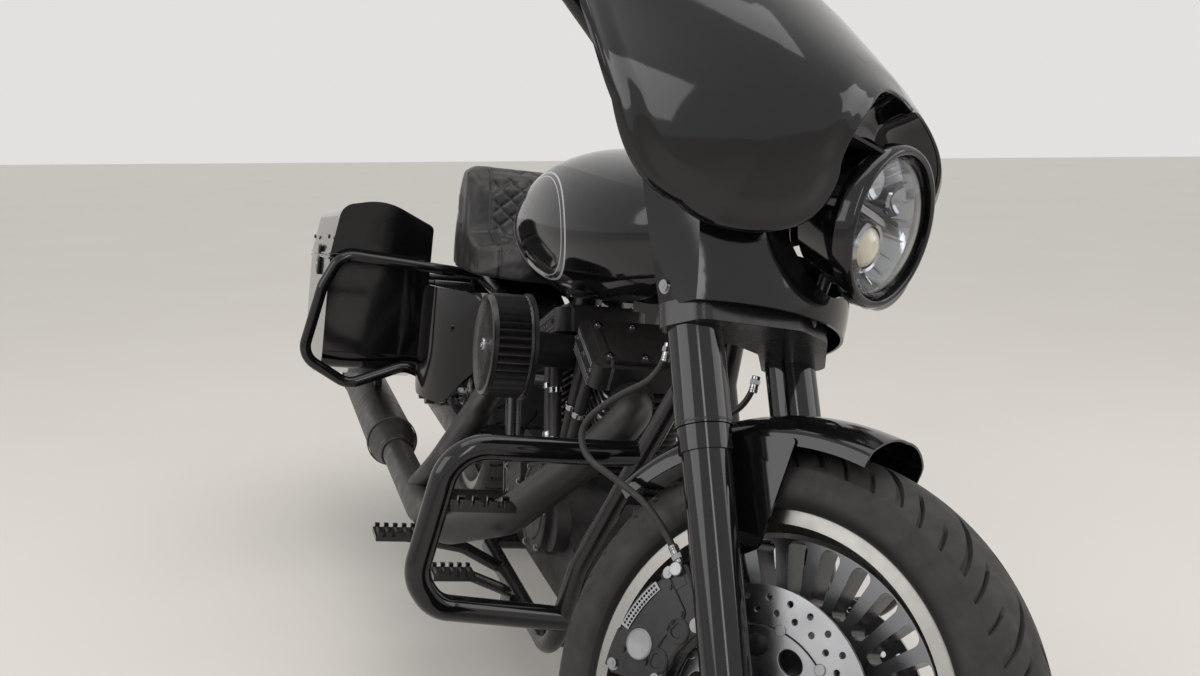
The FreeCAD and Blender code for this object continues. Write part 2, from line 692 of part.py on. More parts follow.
def exhaust_path():
    """The front header's route, from the front port down the right side to the muffler."""
    return [
        Vec(CRANK_X + PORT_REACH - 20, -34, PORT_Z), Vec(1075, -48, PORT_Z), Vec(1072, -110, 486), Vec(985, -212, 352),
        Vec(850, -282, 286), Vec(690, -EXHAUST_Y, EXHAUST_Z), Vec(MUFFLER_FRONT_X, -EXHAUST_Y, EXHAUST_Z),
    ]


def exhaust_pipes():
    """Both headers joined into the right pipe, with a crossover to the left muffler."""
    front = bent_tube(exhaust_path(), HEADER_RADIUS, 70)
    rear = bent_tube([
        Vec(CRANK_X - PORT_REACH + 20, -34, PORT_Z), Vec(580, -56, 552), Vec(620, -160, 520), Vec(690, -225, 440),
        Vec(680, -272, 350), Vec(600, -EXHAUST_Y, EXHAUST_Z),
    ], REAR_HEADER_RADIUS, 60)
    crossover = bent_tube([
        Vec(560, -EXHAUST_Y + 6, EXHAUST_Z), Vec(430, -200, 200), Vec(430, 200, 200),
        Vec(380, EXHAUST_Y, EXHAUST_Z), Vec(MUFFLER_FRONT_X, EXHAUST_Y, EXHAUST_Z),
    ], REAR_HEADER_RADIUS - 2, 60)
    pipes = join([front, rear, crossover])
    return pipes.cut(engine_cylinders())


def mufflers():
    """A straight muffler on each side with a tapered inlet and an open, bored tip."""
    front = Vec(MUFFLER_FRONT_X, -EXHAUST_Y, EXHAUST_Z)
    back = Vec(MUFFLER_BACK_X, -EXHAUST_Y, EXHAUST_Z)
    taper = Part.makeCone(HEADER_RADIUS + 3, MUFFLER_RADIUS, 70, front, Vec(-1, 0, 0))
    body = rod(front - Vec(70, 0, 0), back, MUFFLER_RADIUS)
    bore = rod(back + Vec(160, 0, 0), back - Vec(5, 0, 0), MUFFLER_RADIUS - 9)
    hanger = block(BAG_FLOOR_BEND_X - 60, BAG_FLOOR_BEND_X - 20, -EXHAUST_Y - 8, -EXHAUST_Y + 8,
                   EXHAUST_Z + MUFFLER_RADIUS - 4, BAG_FLOOR_Z - SEAT_GAP)
    return both_sides(join([taper, body, hanger]).cut(bore))


# Tank, seat and panels

def fuel_tank():
    """A stretched teardrop tank, tunnelled to sit on the backbone."""
    sections = [
        # x, floor z, floor half, widest z, widest half, shoulder z, shoulder half, top z
        (1200, 816, 22, 848, 40, 880, 34, 900),
        (1110, 764, 58, 828, 102, 902, 84, 938),
        (960, 716, 88, 816, 164, 912, 130, 956),
        (790, 692, 98, 815, 184, 915, 142, 958),
        (630, 698, 88, 800, 172, 880, 130, 926),
        (500, 746, 40, 782, 84, 816, 62, 838),
    ]
    wires = []
    for x, floor_z, floor_half, wide_z, wide_half, top_side_z, top_half, top_z in sections:
        place = lambda y, z, x=x: Vec(x, y, z)
        wires.append(chain(place, (-floor_half, floor_z), [
            (floor_half, floor_z),
            (wide_half, wide_z, top_half, top_side_z),
            (0, top_z, -top_half, top_side_z),
            (-wide_half, wide_z, -floor_half, floor_z),
        ]))
    tank = Part.makeLoft(wires, True, False)
    start, bend = backbone_points()[:2]
    clear = BACKBONE_RADIUS + SEAT_GAP
    tunnel = rod(start, bend - (start - bend) * 0.4, clear)
    below = plate([(start.x, start.z), (bend.x - 300, bend.z - 42), (bend.x - 300, 500), (start.x, 500)],
                  "xz", -clear, clear)
    cap = rod(Vec(870, 0, 940), Vec(868, 0, 966), 36)
    return join([tank, cap]).cut(tunnel).cut(below)


def seat():
    """A two-up seat: a low rider's part, a tall step and a wide passenger pad."""
    side = plate([
        (488, 668, 12), (492, 742, 30), (400, 728, 60), (330, 748, 30), (292, 878, 26),
        (120, 872, 60), (-66, 842, 26), (-70, 792, 20), (60, 716, 30), (200, 664, 30),
    ], "xz", -240, 240)
    plan = plate([
        (500, -96, 40), (420, -196, 60), (300, -212, 50), (200, -202, 40), (154, -172, 30), (-72, -150, 50),
        (-72, 150, 50), (154, 172, 30), (200, 202, 40), (300, 212, 50), (420, 196, 60), (500, 96, 40),
    ], "xy", 600, 920)
    waist = plate([(-100, -260), (190, -260), (190, -164), (-100, -150)], "xy", 600, 812)
    pan_z = RAIL_Z + FRAME_TUBE_RADIUS + SEAT_GAP
    pan = block(-50, 420, -RAIL_Y, RAIL_Y, pan_z, pan_z + 80)
    fender = rod(REAR_AXLE - LEFT * 200, REAR_AXLE + LEFT * 200, REAR_FENDER_RADIUS + SEAT_GAP)
    pads = side.common(plan).cut(waist).cut(mirror(waist))
    return join([pads, pan]).cut(fuel_tank()).cut(fender)


def side_covers():
    """A moulded cover on each side below the seat, bowed outwards, with a stepped top edge."""
    wall = CASE_WALL
    place = lambda x, y: Vec(x, y, 380)
    strip = Part.Face(chain(place, (498, -150), [
        (418, -236, 232, -262), (232, -262 + wall), (418 - wall * 0.6, -236 + wall, 498 - wall, -150), (498, -150),
    ])).extrude(Vec(0, 0, 280))
    side = plate([(500, 520, 40), (470, 640, 30), (300, 628, 60), (228, 520, 50), (300, 396, 30), (420, 400, 30)],
                 "xz", -300, -100)
    pin = rod(Vec(431, -PILLAR_Y - 8, 560), Vec(424, -232, 560), 8)
    panel = join([strip.common(side), pin.cut(frame_tubes())])
    return both_sides(panel)


# Saddlebags

def bag_solid(inset):
    """The whole closed bag, lid included, drawn in by an inset; on the right side."""
    side = Part.Face(outline([
        (BAG_FRONT_X, 800, 0), (BAG_FRONT_X, BAG_FRONT_FOOT_Z, 45), (BAG_FLOOR_BEND_X, BAG_FLOOR_Z, 120),
        (BAG_BACK_X + 30, BAG_FLOOR_Z, 46), (BAG_BACK_X, 480, 60), (BAG_BACK_X, 800, 0),
    ], "xz", -600))
    rise = SEAM_FRONT_Z - SEAM_BACK_Z
    run = BAG_FRONT_X - BAG_BACK_X
    front = Part.Face(outline([
        (-BAG_INNER_Y, SEAM_BACK_Z + LID_INNER_HEIGHT, 14),
        (-(BAG_INNER_Y + BAG_OUTER_Y) / 2, SEAM_BACK_Z + LID_CROWN_HEIGHT, 160),
        (-BAG_OUTER_Y + LID_TAPER, SEAM_BACK_Z + LID_OUTER_HEIGHT, 34),
        (-BAG_OUTER_Y, SEAM_BACK_Z, 0), (-BAG_OUTER_Y, 200, 0), (-BAG_INNER_Y, 200, 0),
    ], "yz", BAG_BACK_X - 50))
    if inset > 0:
        side = side.makeOffset2D(-inset)
        front = front.makeOffset2D(-inset)
    length = run + 100
    body = side.extrude(Vec(0, 500, 0)).common(front.extrude(Vec(length, 0, length * rise / run)))
    return body


def seam_block(gap):
    """Everything below the slanted seam, raised by a gap."""
    slope = (SEAM_FRONT_Z - SEAM_BACK_Z) / (BAG_FRONT_X - BAG_BACK_X)
    back_x = BAG_BACK_X - 60
    front_x = BAG_FRONT_X + 60
    back_z = SEAM_BACK_Z - 60 * slope + gap
    front_z = SEAM_FRONT_Z + 60 * slope + gap
    return plate([(back_x, back_z), (front_x, front_z), (front_x, 200), (back_x, 200)], "xz", -600, -100)


def seam_direction():
    """The seam's direction along the bag, which is also the lid's hinge line, pointing forward."""
    along = Vec(BAG_FRONT_X - BAG_BACK_X, 0, SEAM_FRONT_Z - SEAM_BACK_Z)
    return along.normalize()


def bag_case_right():
    """A hollow saddlebag, open at its slanted seam."""
    return bag_solid(0).cut(bag_solid(CASE_WALL)).common(seam_block(0))


def bag_case_left():
    return mirror(bag_case_right())


def bag_lid_right():
    """A crowned hollow lid above the seam."""
    return bag_solid(0).cut(bag_solid(CASE_WALL)).cut(seam_block(LID_SEAM_GAP))


def bag_lid_left():
    return mirror(bag_lid_right())


def bag_guards():
    """A bent tube on each side that wraps the front of the saddlebag."""
    x = BAG_GUARD_X
    loop = bent_tube([
        Vec(x + 10, -RAIL_Y, RAIL_Z - 6), Vec(x + 10, -220, 646), Vec(x, -436, 660), Vec(x, -470, 590),
        Vec(x, -502, 434), Vec(x, -400, 376), Vec(x, -280, 424), Vec(x + 10, -196, 396), Vec(x + 40, -196, 352),
    ], BAG_GUARD_RADIUS, 46)
    return both_sides(loop.cut(frame_tubes()).cut(swingarm()))


def engine_guard():
    """The bent highway guard in front of the engine, welded to both downtubes."""
    side = bent_tube([
        Vec(1188, -76, 520), Vec(1200, -139, 522), Vec(1200, -356, 524), Vec(1200, -392, 330),
        Vec(1196, -360, 284), Vec(1123, -144, 234),
    ], GUARD_RADIUS, 62)
    return both_sides(side.cut(frame_tubes()))


def foot_controls():
    """Serrated rider's pegs, highway pegs on the guard, the brake pedal and the shift lever."""
    def serrated(x, y_out, y_in, z, width):
        bar = block(x - width / 2, x + width / 2, y_out, y_in, z - 8, z)
        teeth = []
        count = 5
        pitch = (y_in - y_out) / count
        for index in range(count):
            for edge in (x - width / 2 + 4, x + width / 2 - 4):
                teeth.append(block(edge - 4, edge + 4, y_out + pitch * (index + 0.2),
                                   y_out + pitch * (index + 0.7), z - 1, z + 8))
        return join([bar] + teeth)

    peg = serrated(750, -392, -312, 240, 56)
    arm = bent_tube([Vec(750, -330, 233), Vec(750, -230, 214), Vec(750, -CRADLE_Y, CRADLE_Z)], 11, 50)
    rider = join([peg, arm]).cut(frame_tubes())
    pad = serrated(1000, -330, -262, 262, 44)
    lever = bent_tube([Vec(1000, -268, 256), Vec(990, -200, 226), Vec(900, -180, 176), Vec(900, -CRADLE_Y, CRADLE_Z)],
                      9, 40)
    pedal = join([pad, lever]).cut(frame_tubes())
    bar = serrated(1176, -360, -252, 432, 30)
    clamp = rod(Vec(1176, -352, 428), Vec(1200, -372, 432), 13)
    highway = join([bar, clamp]).cut(engine_guard())
    return Part.makeCompound([both_sides(rider), both_sides(pedal), both_sides(highway)])


def drive_belt():
    """The final drive belt between the gearbox pulley and the rear wheel's pulley."""
    gearbox = Vec(GEARBOX_PULLEY_X, 0, CRANK_Z)
    small = GEARBOX_PULLEY_RADIUS
    large = PULLEY_RADIUS + SEAT_GAP
    span = (gearbox - REAR_AXLE).Length
    lift = math.asin((large - small) / span)
    slope = math.atan2(gearbox.z - REAR_AXLE.z, gearbox.x - REAR_AXLE.x)

    def wire(extra):
        big = large + extra
        little = small + extra
        place = lambda c, r, a: Vec(c.x + r * math.cos(a), PULLEY_Y, c.z + r * math.sin(a))
        up = slope + math.pi / 2 - lift
        down = slope - math.pi / 2 + lift
        return Part.Wire([
            Part.Arc(place(REAR_AXLE, big, up), place(REAR_AXLE, big, slope + math.pi),
                     place(REAR_AXLE, big, down)).toShape(),
            Part.LineSegment(place(REAR_AXLE, big, down), place(gearbox, little, down)).toShape(),
            Part.Arc(place(gearbox, little, down), place(gearbox, little, slope),
                     place(gearbox, little, up)).toShape(),
            Part.LineSegment(place(gearbox, little, up), place(REAR_AXLE, big, up)).toShape(),
        ])

    outer = Part.Face(wire(BELT_THICK)).extrude(LEFT * BELT_WIDTH)
    inner = Part.Face(wire(0)).extrude(LEFT * BELT_WIDTH)
    drive = rod(gearbox + LEFT * PULLEY_Y, gearbox + LEFT * (PULLEY_Y + BELT_WIDTH), small)
    shaft = rod(gearbox + LEFT * CRANKCASE_HALF, gearbox + LEFT * PRIMARY_Y, 22)
    return join([outer.cut(inner), drive, shaft])


def oil_cooler():
    """A finned oil cooler between the downtubes."""
    body = block(1146, 1178, -58, 58, 396, 500)
    fins = [block(1176, 1188, -58, 58, 402 + 12 * step, 405 + 12 * step) for step in range(8)]
    strap = block(1160, 1174, -102, 102, 436, 450)
    return join([body, strap] + fins).cut(frame_tubes()).cut(engine_guard())


def stand_foot():
    """The point of the ground under the middle of the side stand's foot."""
    up, ground = ground_plane()
    flat = Vec(STAND_FOOT_X, STAND_FOOT_Y, 0)
    return flat + Vec(0, 0, (ground - up.dot(flat)) / up.z)


def stand_pivot():
    return Vec(STAND_X, STAND_Y, STAND_Z)


def stand_axis():
    """The stand's hinge line, square to its leg when it is down and when it lies folded back."""
    folded = Vec(-0.99, 0.1, 0.05)
    down = stand_foot() - stand_pivot()
    return down.cross(folded).normalize()


def side_stand():
    """The side stand: an eye on its pivot, a bent leg and a flat foot on the ground."""
    up = ground_plane()[0]
    pivot = stand_pivot()
    axis = stand_axis()
    foot = stand_foot()
    pad = Part.makeCylinder(STAND_FOOT_RADIUS, STAND_FOOT_THICK, foot, up)
    leg = rod(pivot, foot + up * (STAND_FOOT_THICK - 2), STAND_RADIUS)
    eye = rod(pivot - axis * STAND_EYE_HALF, pivot + axis * STAND_EYE_HALF, STAND_BOSS_RADIUS)
    below = Part.makeCylinder(200, 60, foot - up * 60, up)
    return join([pad, leg, eye]).cut(below)


# Steering group

def clamp_plate(height, thick, spread, front):
    """A fork clamp across both legs, square to the steering axis."""
    centre = head_point(height)
    half = LEG_Y + spread
    points = []
    edge = [(front, -36), (front, 36), (-4, half), (-76, half), (-76, LEG_Y - 13), (-36, 30),
            (-36, -30), (-76, 13 - LEG_Y), (-76, -half), (-4, -half)]
    for forward, y in edge:
        points.append(centre + HEAD_FORWARD * forward + LEFT * y)
    face = Part.Face(rounded_wire(points, [24] * len(points), True))
    face.translate(HEAD_AXIS * (-thick / 2))
    return face.extrude(HEAD_AXIS * thick)


def triple_clamps():
    """Both fork clamps, the steering stem and the two fork tubes."""
    lower = clamp_plate(LOWER_CLAMP_Z, CLAMP_THICK, 38, 62)
    upper = clamp_plate(UPPER_CLAMP_Z, CLAMP_THICK - 6, 36, 34)
    stem = rod(head_point(LOWER_CLAMP_Z), head_point(UPPER_CLAMP_Z), STEM_RADIUS)
    tubes = [rod(leg_point(SLIDER_TOP_Z - 30, side), leg_point(UPPER_CLAMP_Z + 20, side), FORK_TUBE_RADIUS)
             for side in (-1, 1)]
    posts = [rod(Vec(1340, side * 60, 922), Vec(1340, side * 60, DASH_FLOOR_Z - SEAT_GAP), 9) for side in (-1, 1)]
    lamp_post = rod(Vec(1466, 0, 766), Vec(1466, 0, LAMP_Z - 60), 9).cut(lamp_bucket())
    return join([lower, upper, stem, lamp_post] + posts + tubes)


def fork_covers():
    """The round covers over the fork tubes, from the sliders to the lower clamp."""
    bottom = leg_point(SLIDER_TOP_Z + 1, -1)
    top = leg_point(LOWER_CLAMP_Z - 20, -1)
    cover = rod(bottom, top, COVER_RADIUS).cut(rod(bottom - LEG_AXIS * 5, top + LEG_AXIS * 5, FORK_TUBE_RADIUS))
    return both_sides(cover.cut(triple_clamps()))


def fork_sliders():
    """The two lower fork legs, joined by the front axle."""
    parts = []
    for side in (-1, 1):
        low = leg_point(TYRE_RADIUS, side) - LEG_AXIS * 42
        parts.append(rod(low, leg_point(SLIDER_TOP_Z, side), SLIDER_RADIUS))
        parts.append(rod(leg_point(SLIDER_TOP_Z - 26, side), leg_point(SLIDER_TOP_Z, side), SLIDER_RADIUS + 3))
    parts.append(rod(FRONT_AXLE - LEFT * (LEG_Y + 40), FRONT_AXLE + LEFT * (LEG_Y + 40), AXLE_RADIUS))
    parts.append(rod(FRONT_AXLE - LEFT * (LEG_Y + 42), FRONT_AXLE - LEFT * (LEG_Y + 28), 17))
    parts.append(rod(FRONT_AXLE + LEFT * (LEG_Y + 28), FRONT_AXLE + LEFT * (LEG_Y + 42), 17))
    bores = [rod(leg_point(SLIDER_TOP_Z - 31, side), leg_point(SLIDER_TOP_Z + 5, side), FORK_TUBE_RADIUS)
             for side in (-1, 1)]
    return join(parts).cut(Part.makeCompound(bores))


def front_fender():
    """The front fender: a crowned sheet with skirts and two brackets to the sliders."""
    half = FRONT_FENDER_HALF
    outer = FRONT_FENDER_RADIUS
    wire = mirrored_chain(about(FRONT_AXLE), (0, outer), [
        (-half * 0.62, outer - 7, -half + 6, outer - 20),
        (-half + 2, outer - 25, -half, outer - 33),
        (-half, outer - 44),
        (-half + SHEET, outer - 44),
        (-half + SHEET, outer - 33),
        (-half + 5, outer - 26.5, -half + 8, outer - 22.6),
        (-half * 0.62, outer - 7 - SHEET, 0, outer - SHEET),
    ])
    shell = wheel_ring(wire, FRONT_AXLE, -5, 63)
    anchor = leg_point(500, -1) + HEAD_FORWARD * 14
    plate_shape = plate([
        (anchor.x - 40, 500, 16), (anchor.x - 92, 602, 6), (anchor.x + 24, 638, 6), (anchor.x + 26, 500, 16),
        (anchor.x, 478, 16),
    ], "xz", -half - 4, -half)
    boss = rod(Vec(anchor.x, -half - 2, 500), Vec(anchor.x, -LEG_Y + 4, 500), 13)
    arm = join([plate_shape, boss]).cut(fork_sliders())
    return join([shell, arm, mirror(arm)])


def front_calipers():
    """A caliper on each side behind the fork leg, with a slot over the rotor."""
    edge = FRONT_DISC_Y + DISC_THICK / 2 + RUNNING_GAP
    near = FRONT_DISC_Y - DISC_THICK / 2 - RUNNING_GAP
    wire = chain(about(FRONT_AXLE), (-LEG_Y + 6, 100), [
        (-near + 8, 100), (-near + 8, CALIPER_RADIUS), (-LEG_Y + 6, CALIPER_RADIUS), (-LEG_Y + 6, 100),
    ])
    body = wheel_ring(wire, FRONT_AXLE, 42, 58)
    slot = rod(FRONT_AXLE - LEFT * edge, FRONT_AXLE - LEFT * near, DISC_RADIUS + RUNNING_GAP)
    body = body.cut(slot).cut(fork_sliders())
    return both_sides(body)


def brake_hoses():
    """A flexible hose on each side, clipped under the clamp and led back round to its caliper."""
    turn = math.radians(138)
    end = FRONT_AXLE + Vec(math.cos(turn), 0, math.sin(turn)) * (CALIPER_RADIUS + SEAT_GAP) - LEFT * 104
    hose = bent_tube([
        Vec(1352, -112, 692), Vec(1358, -112, 650), Vec(1302, -112, 606), Vec(1262, -112, 556),
        Vec(1284, -112, 518), Vec(1348, -112, 508), Vec(1420, -110, 492), end,
    ], 4.5, 1000)
    return both_sides(hose)


def lamp_at(x):
    return Vec(x, 0, LAMP_Z)


def lamp_bucket():
    """The headlight's outside: a bowl behind a short straight bezel."""
    forward = Vec(1, 0, 0)
    bezel = Part.makeCylinder(LAMP_RADIUS, 22, lamp_at(LAMP_X - 22), forward)
    bowl = Part.makeCone(70, LAMP_RADIUS - 4, LAMP_DEPTH - 22, lamp_at(LAMP_X - LAMP_DEPTH), forward)
    return join([bezel, bowl])


def headlight():
    """The headlight bucket with its bezel ring, open at the front."""
    forward = Vec(1, 0, 0)
    inner = Part.makeCone(60, LAMP_RADIUS - 12, LAMP_DEPTH - 12, lamp_at(LAMP_X - LAMP_DEPTH + 8), forward)
    mouth = Part.makeCylinder(LAMP_RADIUS - 9, 12, lamp_at(LAMP_X - 8), forward)
    return lamp_bucket().cut(inner).cut(mouth)


def headlight_lens():
    """The domed clear lens in the bezel."""
    radius = LAMP_RADIUS - 9 - SEAT_GAP
    bulge = 22.0
    ball = (radius * radius + bulge * bulge) / (2 * bulge)
    place = lambda y, r: Vec(LAMP_X - 8 + r, 0, LAMP_Z + y)
    top = math.sqrt((ball - 4) ** 2 - (ball - bulge) ** 2)
    wire = chain(place, (0, bulge), [
        (radius * 0.55, math.sqrt(ball * ball - (radius * 0.55) ** 2) - ball + bulge, radius, 0),
        (top, 0),
        (top * 0.55, math.sqrt((ball - 4) ** 2 - (top * 0.55) ** 2) - ball + bulge, 0, bulge - 4),
        (0, bulge),
    ])
    return Part.Face(wire).revolve(lamp_at(LAMP_X), Vec(1, 0, 0), 360)


def fork_nacelle():
    """The wrap-round panel between the fork covers and the fairing, flared upwards."""
    sections = [
        # height, rear x, rear half, side x, side half, front x
        (732, 1346, 152, 1412, 168, 1492),
        (800, 1316, 172, 1398, 180, 1486),
        (880, 1284, 196, 1372, 196, 1452),
    ]
    wires = []
    for z, rear_x, rear_half, side_x, side_half, front_x in sections:
        place = lambda x, y, z=z: Vec(x, y, z)
        wall = CASE_WALL
        wires.append(chain(place, (rear_x, -rear_half), [
            (side_x, -side_half),
            (front_x, 0, side_x, side_half),
            (rear_x, rear_half),
            (rear_x, rear_half - wall),
            (side_x, side_half - wall),
            (front_x - wall, 0, side_x, -side_half + wall),
            (rear_x, -rear_half + wall),
            (rear_x, -rear_half),
        ]))
    shell = Part.makeLoft(wires, True, False)
    bucket = Part.makeCylinder(LAMP_RADIUS + 1, 200, lamp_at(LAMP_X - LAMP_DEPTH - 10), Vec(1, 0, 0))
    bottom = plate([(1200, 650), (1200, 672), (1350, 729), (1620, 832), (1620, 650)], "xz", -300, 300)
    return shell.cut(bucket).cut(bottom).cut(triple_clamps()).cut(fork_covers())


def fairing_band(inset, depth):
    """The fairing's curved skin as a band of a depth along X, set back by an inset."""
    wires = []
    for z, nose_x, lobe_x, valley_x, tip_x in FAIRING_SECTIONS:
        place = lambda x, y, z=z: Vec(x - inset, y, z)
        wires.append(chain(place, (tip_x, -TIP_Y), [
            (valley_x, -VALLEY_Y, lobe_x, -LOBE_Y),
            (nose_x, 0, lobe_x, LOBE_Y),
            (valley_x, VALLEY_Y, tip_x, TIP_Y),
            (tip_x - depth, TIP_Y),
            (valley_x - depth, VALLEY_Y, lobe_x - depth, LOBE_Y),
            (nose_x - depth, 0, lobe_x - depth, -LOBE_Y),
            (valley_x - depth, -VALLEY_Y, tip_x - depth, -TIP_Y),
            (tip_x, -TIP_Y),
        ]))
    return Part.makeLoft(wires, True, False)


def fairing_front():
    """The fairing's outline seen from ahead, as a solid along X."""
    place = lambda y, z: Vec(1000, y, z)
    wire = mirrored_chain(place, (0, 1216), [
        (-150, 1206, -262, 1166),
        (-372, 1112, -434, 1040),
        (-436, 975, -396, 912),
        (-344, 862, -264, 843),
        (-184, 841, -136, 866),
        (-112, 900, -120, 960),
        (-98, 1044, 0, 1066),
    ])
    return Part.Face(wire).extrude(Vec(700, 0, 0))


def fairing_shell():
    """The painted outer fairing: bulged nose, hollowed wings and an arch over the headlight."""
    return fairing_band(0, FAIRING_WALL).common(fairing_front())


def fairing_dash():
    """The inner fairing: an instrument face with walls that reach forward to the skin."""
    edge = [(-246, DASH_TOP_Z, 40), (-300, 1060, 40), (-300, 1006, 30), (-120, DASH_FLOOR_Z, 30),
            (120, DASH_FLOOR_Z, 30), (300, 1006, 30), (300, 1060, 40), (246, DASH_TOP_Z, 40)]
    face = Part.Face(outline(edge, "yz", DASH_BACK_X))
    box = face.extrude(Vec(400, 0, 0))
    hollow = face.makeOffset2D(-CASE_WALL)
    hollow.translate(Vec(12, 0, 0))
    ahead = fairing_band(FAIRING_WALL + SEAT_GAP, -500)
    walls = box.cut(hollow.extrude(Vec(400, 0, 0))).cut(ahead)
    return walls.cut(Part.makeCylinder(LAMP_RADIUS + 1, 300, lamp_at(1400), Vec(1, 0, 0)))


def windshield():
    """A short tinted screen that rises from behind the fairing's top edge."""
    foot_z = DASH_TOP_Z + RUNNING_GAP
    top = plate([(-204, foot_z, 20), (-204, 1200, 30), (-150, 1272, 60), (0, 1290, 300), (150, 1272, 60),
                 (204, 1200, 30), (204, foot_z, 20)], "yz", 900, 1600)
    return fairing_band(FAIRING_WALL + SEAT_GAP, SCREEN_THICK).common(top)


def handlebar():
    """Risers on the upper clamp and a bar swept out and back to the grips."""
    clamp = head_point(UPPER_CLAMP_Z)
    top = HEAD_AXIS * ((CLAMP_THICK - 6) / 2)
    seat = clamp + top - HEAD_FORWARD * 24
    riser_top = Vec(seat.x - 108, 0, seat.z + 70)
    riser = rod(seat - LEFT * 46 - HEAD_AXIS * 8, riser_top - LEFT * 46, 14).cut(triple_clamps())
    inner = bar_points()[0]
    bar = bent_tube([riser_top - LEFT * 2, riser_top - LEFT * 150, inner] + bar_points()[1:], BAR_RADIUS, 60)
    whole = join([riser, bar])
    return join([whole, mirror(whole), rod(riser_top - LEFT * 4, riser_top + LEFT * 4, BAR_RADIUS)])


def bar_points():
    """The right half of the bar from its outer bend to its end."""
    return [Vec(1168, -330, 1062), Vec(1056, -418, 1040), Vec(920, -456, 1026)]


def hand_controls():
    """Grips, switch housings and levers on the ends of the bar."""
    near, far = bar_points()[1:]
    along = far - near
    along.normalize()
    start = near + along * 42
    grip = rod(start, far + along * 6, 17)
    housing = rod(near + along * 18, start, 23)
    out = Vec(0, 0, 1).cross(along).normalize()
    knuckle = near + along * 26 + out * 38
    perch = rod(near + along * 30, knuckle, 9)
    lever = bent_tube([knuckle, knuckle + along * 36 + out * 12, knuckle + along * 128 + out * 4], 6, 30)
    ball = Part.makeSphere(11, knuckle)
    grip_part = join([grip, housing, perch, ball, lever]).cut(handlebar())
    return both_sides(grip_part)


# Placing the steered group and the leaning machine

def steered(shape, turn_deg=STEER_DEG):
    """A shape turned to the left about the steering axis."""
    turned = shape.copy()
    turned.rotate(HEAD_FOOT, HEAD_AXIS, turn_deg)
    return turned


def ground_plane():
    """The ground as an up direction and a level, where both tyres touch at the lean angle."""
    turn = FreeCAD.Rotation(HEAD_AXIS, STEER_DEG)
    front = HEAD_FOOT + turn.multVec(FRONT_AXLE - HEAD_FOOT)
    wheels = [
        (REAR_AXLE, LEFT, tread_points(REAR_TREAD_HALF, REAR_SHOULDER_RADIUS)),
        (front, turn.multVec(LEFT), tread_points(FRONT_TREAD_HALF, FRONT_SHOULDER_RADIUS)),
    ]

    def level(up, centre, axis, crown):
        spread = math.sqrt(1 - up.dot(axis) ** 2)
        reach = max(radius * spread + abs(y * up.dot(axis)) for y, radius in crown)
        return up.dot(centre) - reach

    low, high = -0.1, 0.1
    for step in range(50):
        pitch = (low + high) / 2
        up = Vec(math.sin(pitch), -math.sin(LEAN) * math.cos(pitch), math.cos(LEAN) * math.cos(pitch))
        rear_level, front_level = [level(up, *wheel) for wheel in wheels]
        if front_level > rear_level:
            high = pitch
        else:
            low = pitch
    return up, rear_level


def machine_rotation(up):
    """The rotation that stands the leaning machine on a level floor, still pointing along X."""
    forward = Vec(1, 0, 0) - up * up.x
    forward.normalize()
    left = up.cross(forward)
    return FreeCAD.Rotation(forward, left, up, "XYZ").inverted()


CHASSIS = [
    frame_tubes, swingarm, rear_caliper, rear_shocks, rear_fender, rear_lamps, crankcase,
    engine_cylinders, primary_cover, air_filter, exhaust_pipes, mufflers, fuel_tank, seat,
    side_covers, bag_case_right, bag_case_left, bag_guards, engine_guard, foot_controls,
    drive_belt, oil_cooler,
]
OTHER_UNSTEERED = [side_stand, bag_lid_right, bag_lid_left, rear_tyre, rear_rim, rear_pulley_disc]
STEERED = [
    triple_clamps, fork_covers, fork_sliders, front_fender, front_calipers, brake_hoses,
    headlight, headlight_lens, fork_nacelle, fairing_shell, fairing_dash, windshield,
    handlebar, hand_controls, front_tyre, front_rim, front_discs,
]


def report_point(label, point, placement):
    """Prints a point or direction of the finished machine in metres."""
    moved = placement.multVec(point)
    print("point", label, round(moved.x / 1000, 6), round(moved.y / 1000, 6), round(moved.z / 1000, 6))


def report_axis(label, axis, rotation):
    moved = rotation.multVec(axis)
    print("axis", label, round(moved.x, 6), round(moved.y, 6), round(moved.z, 6))


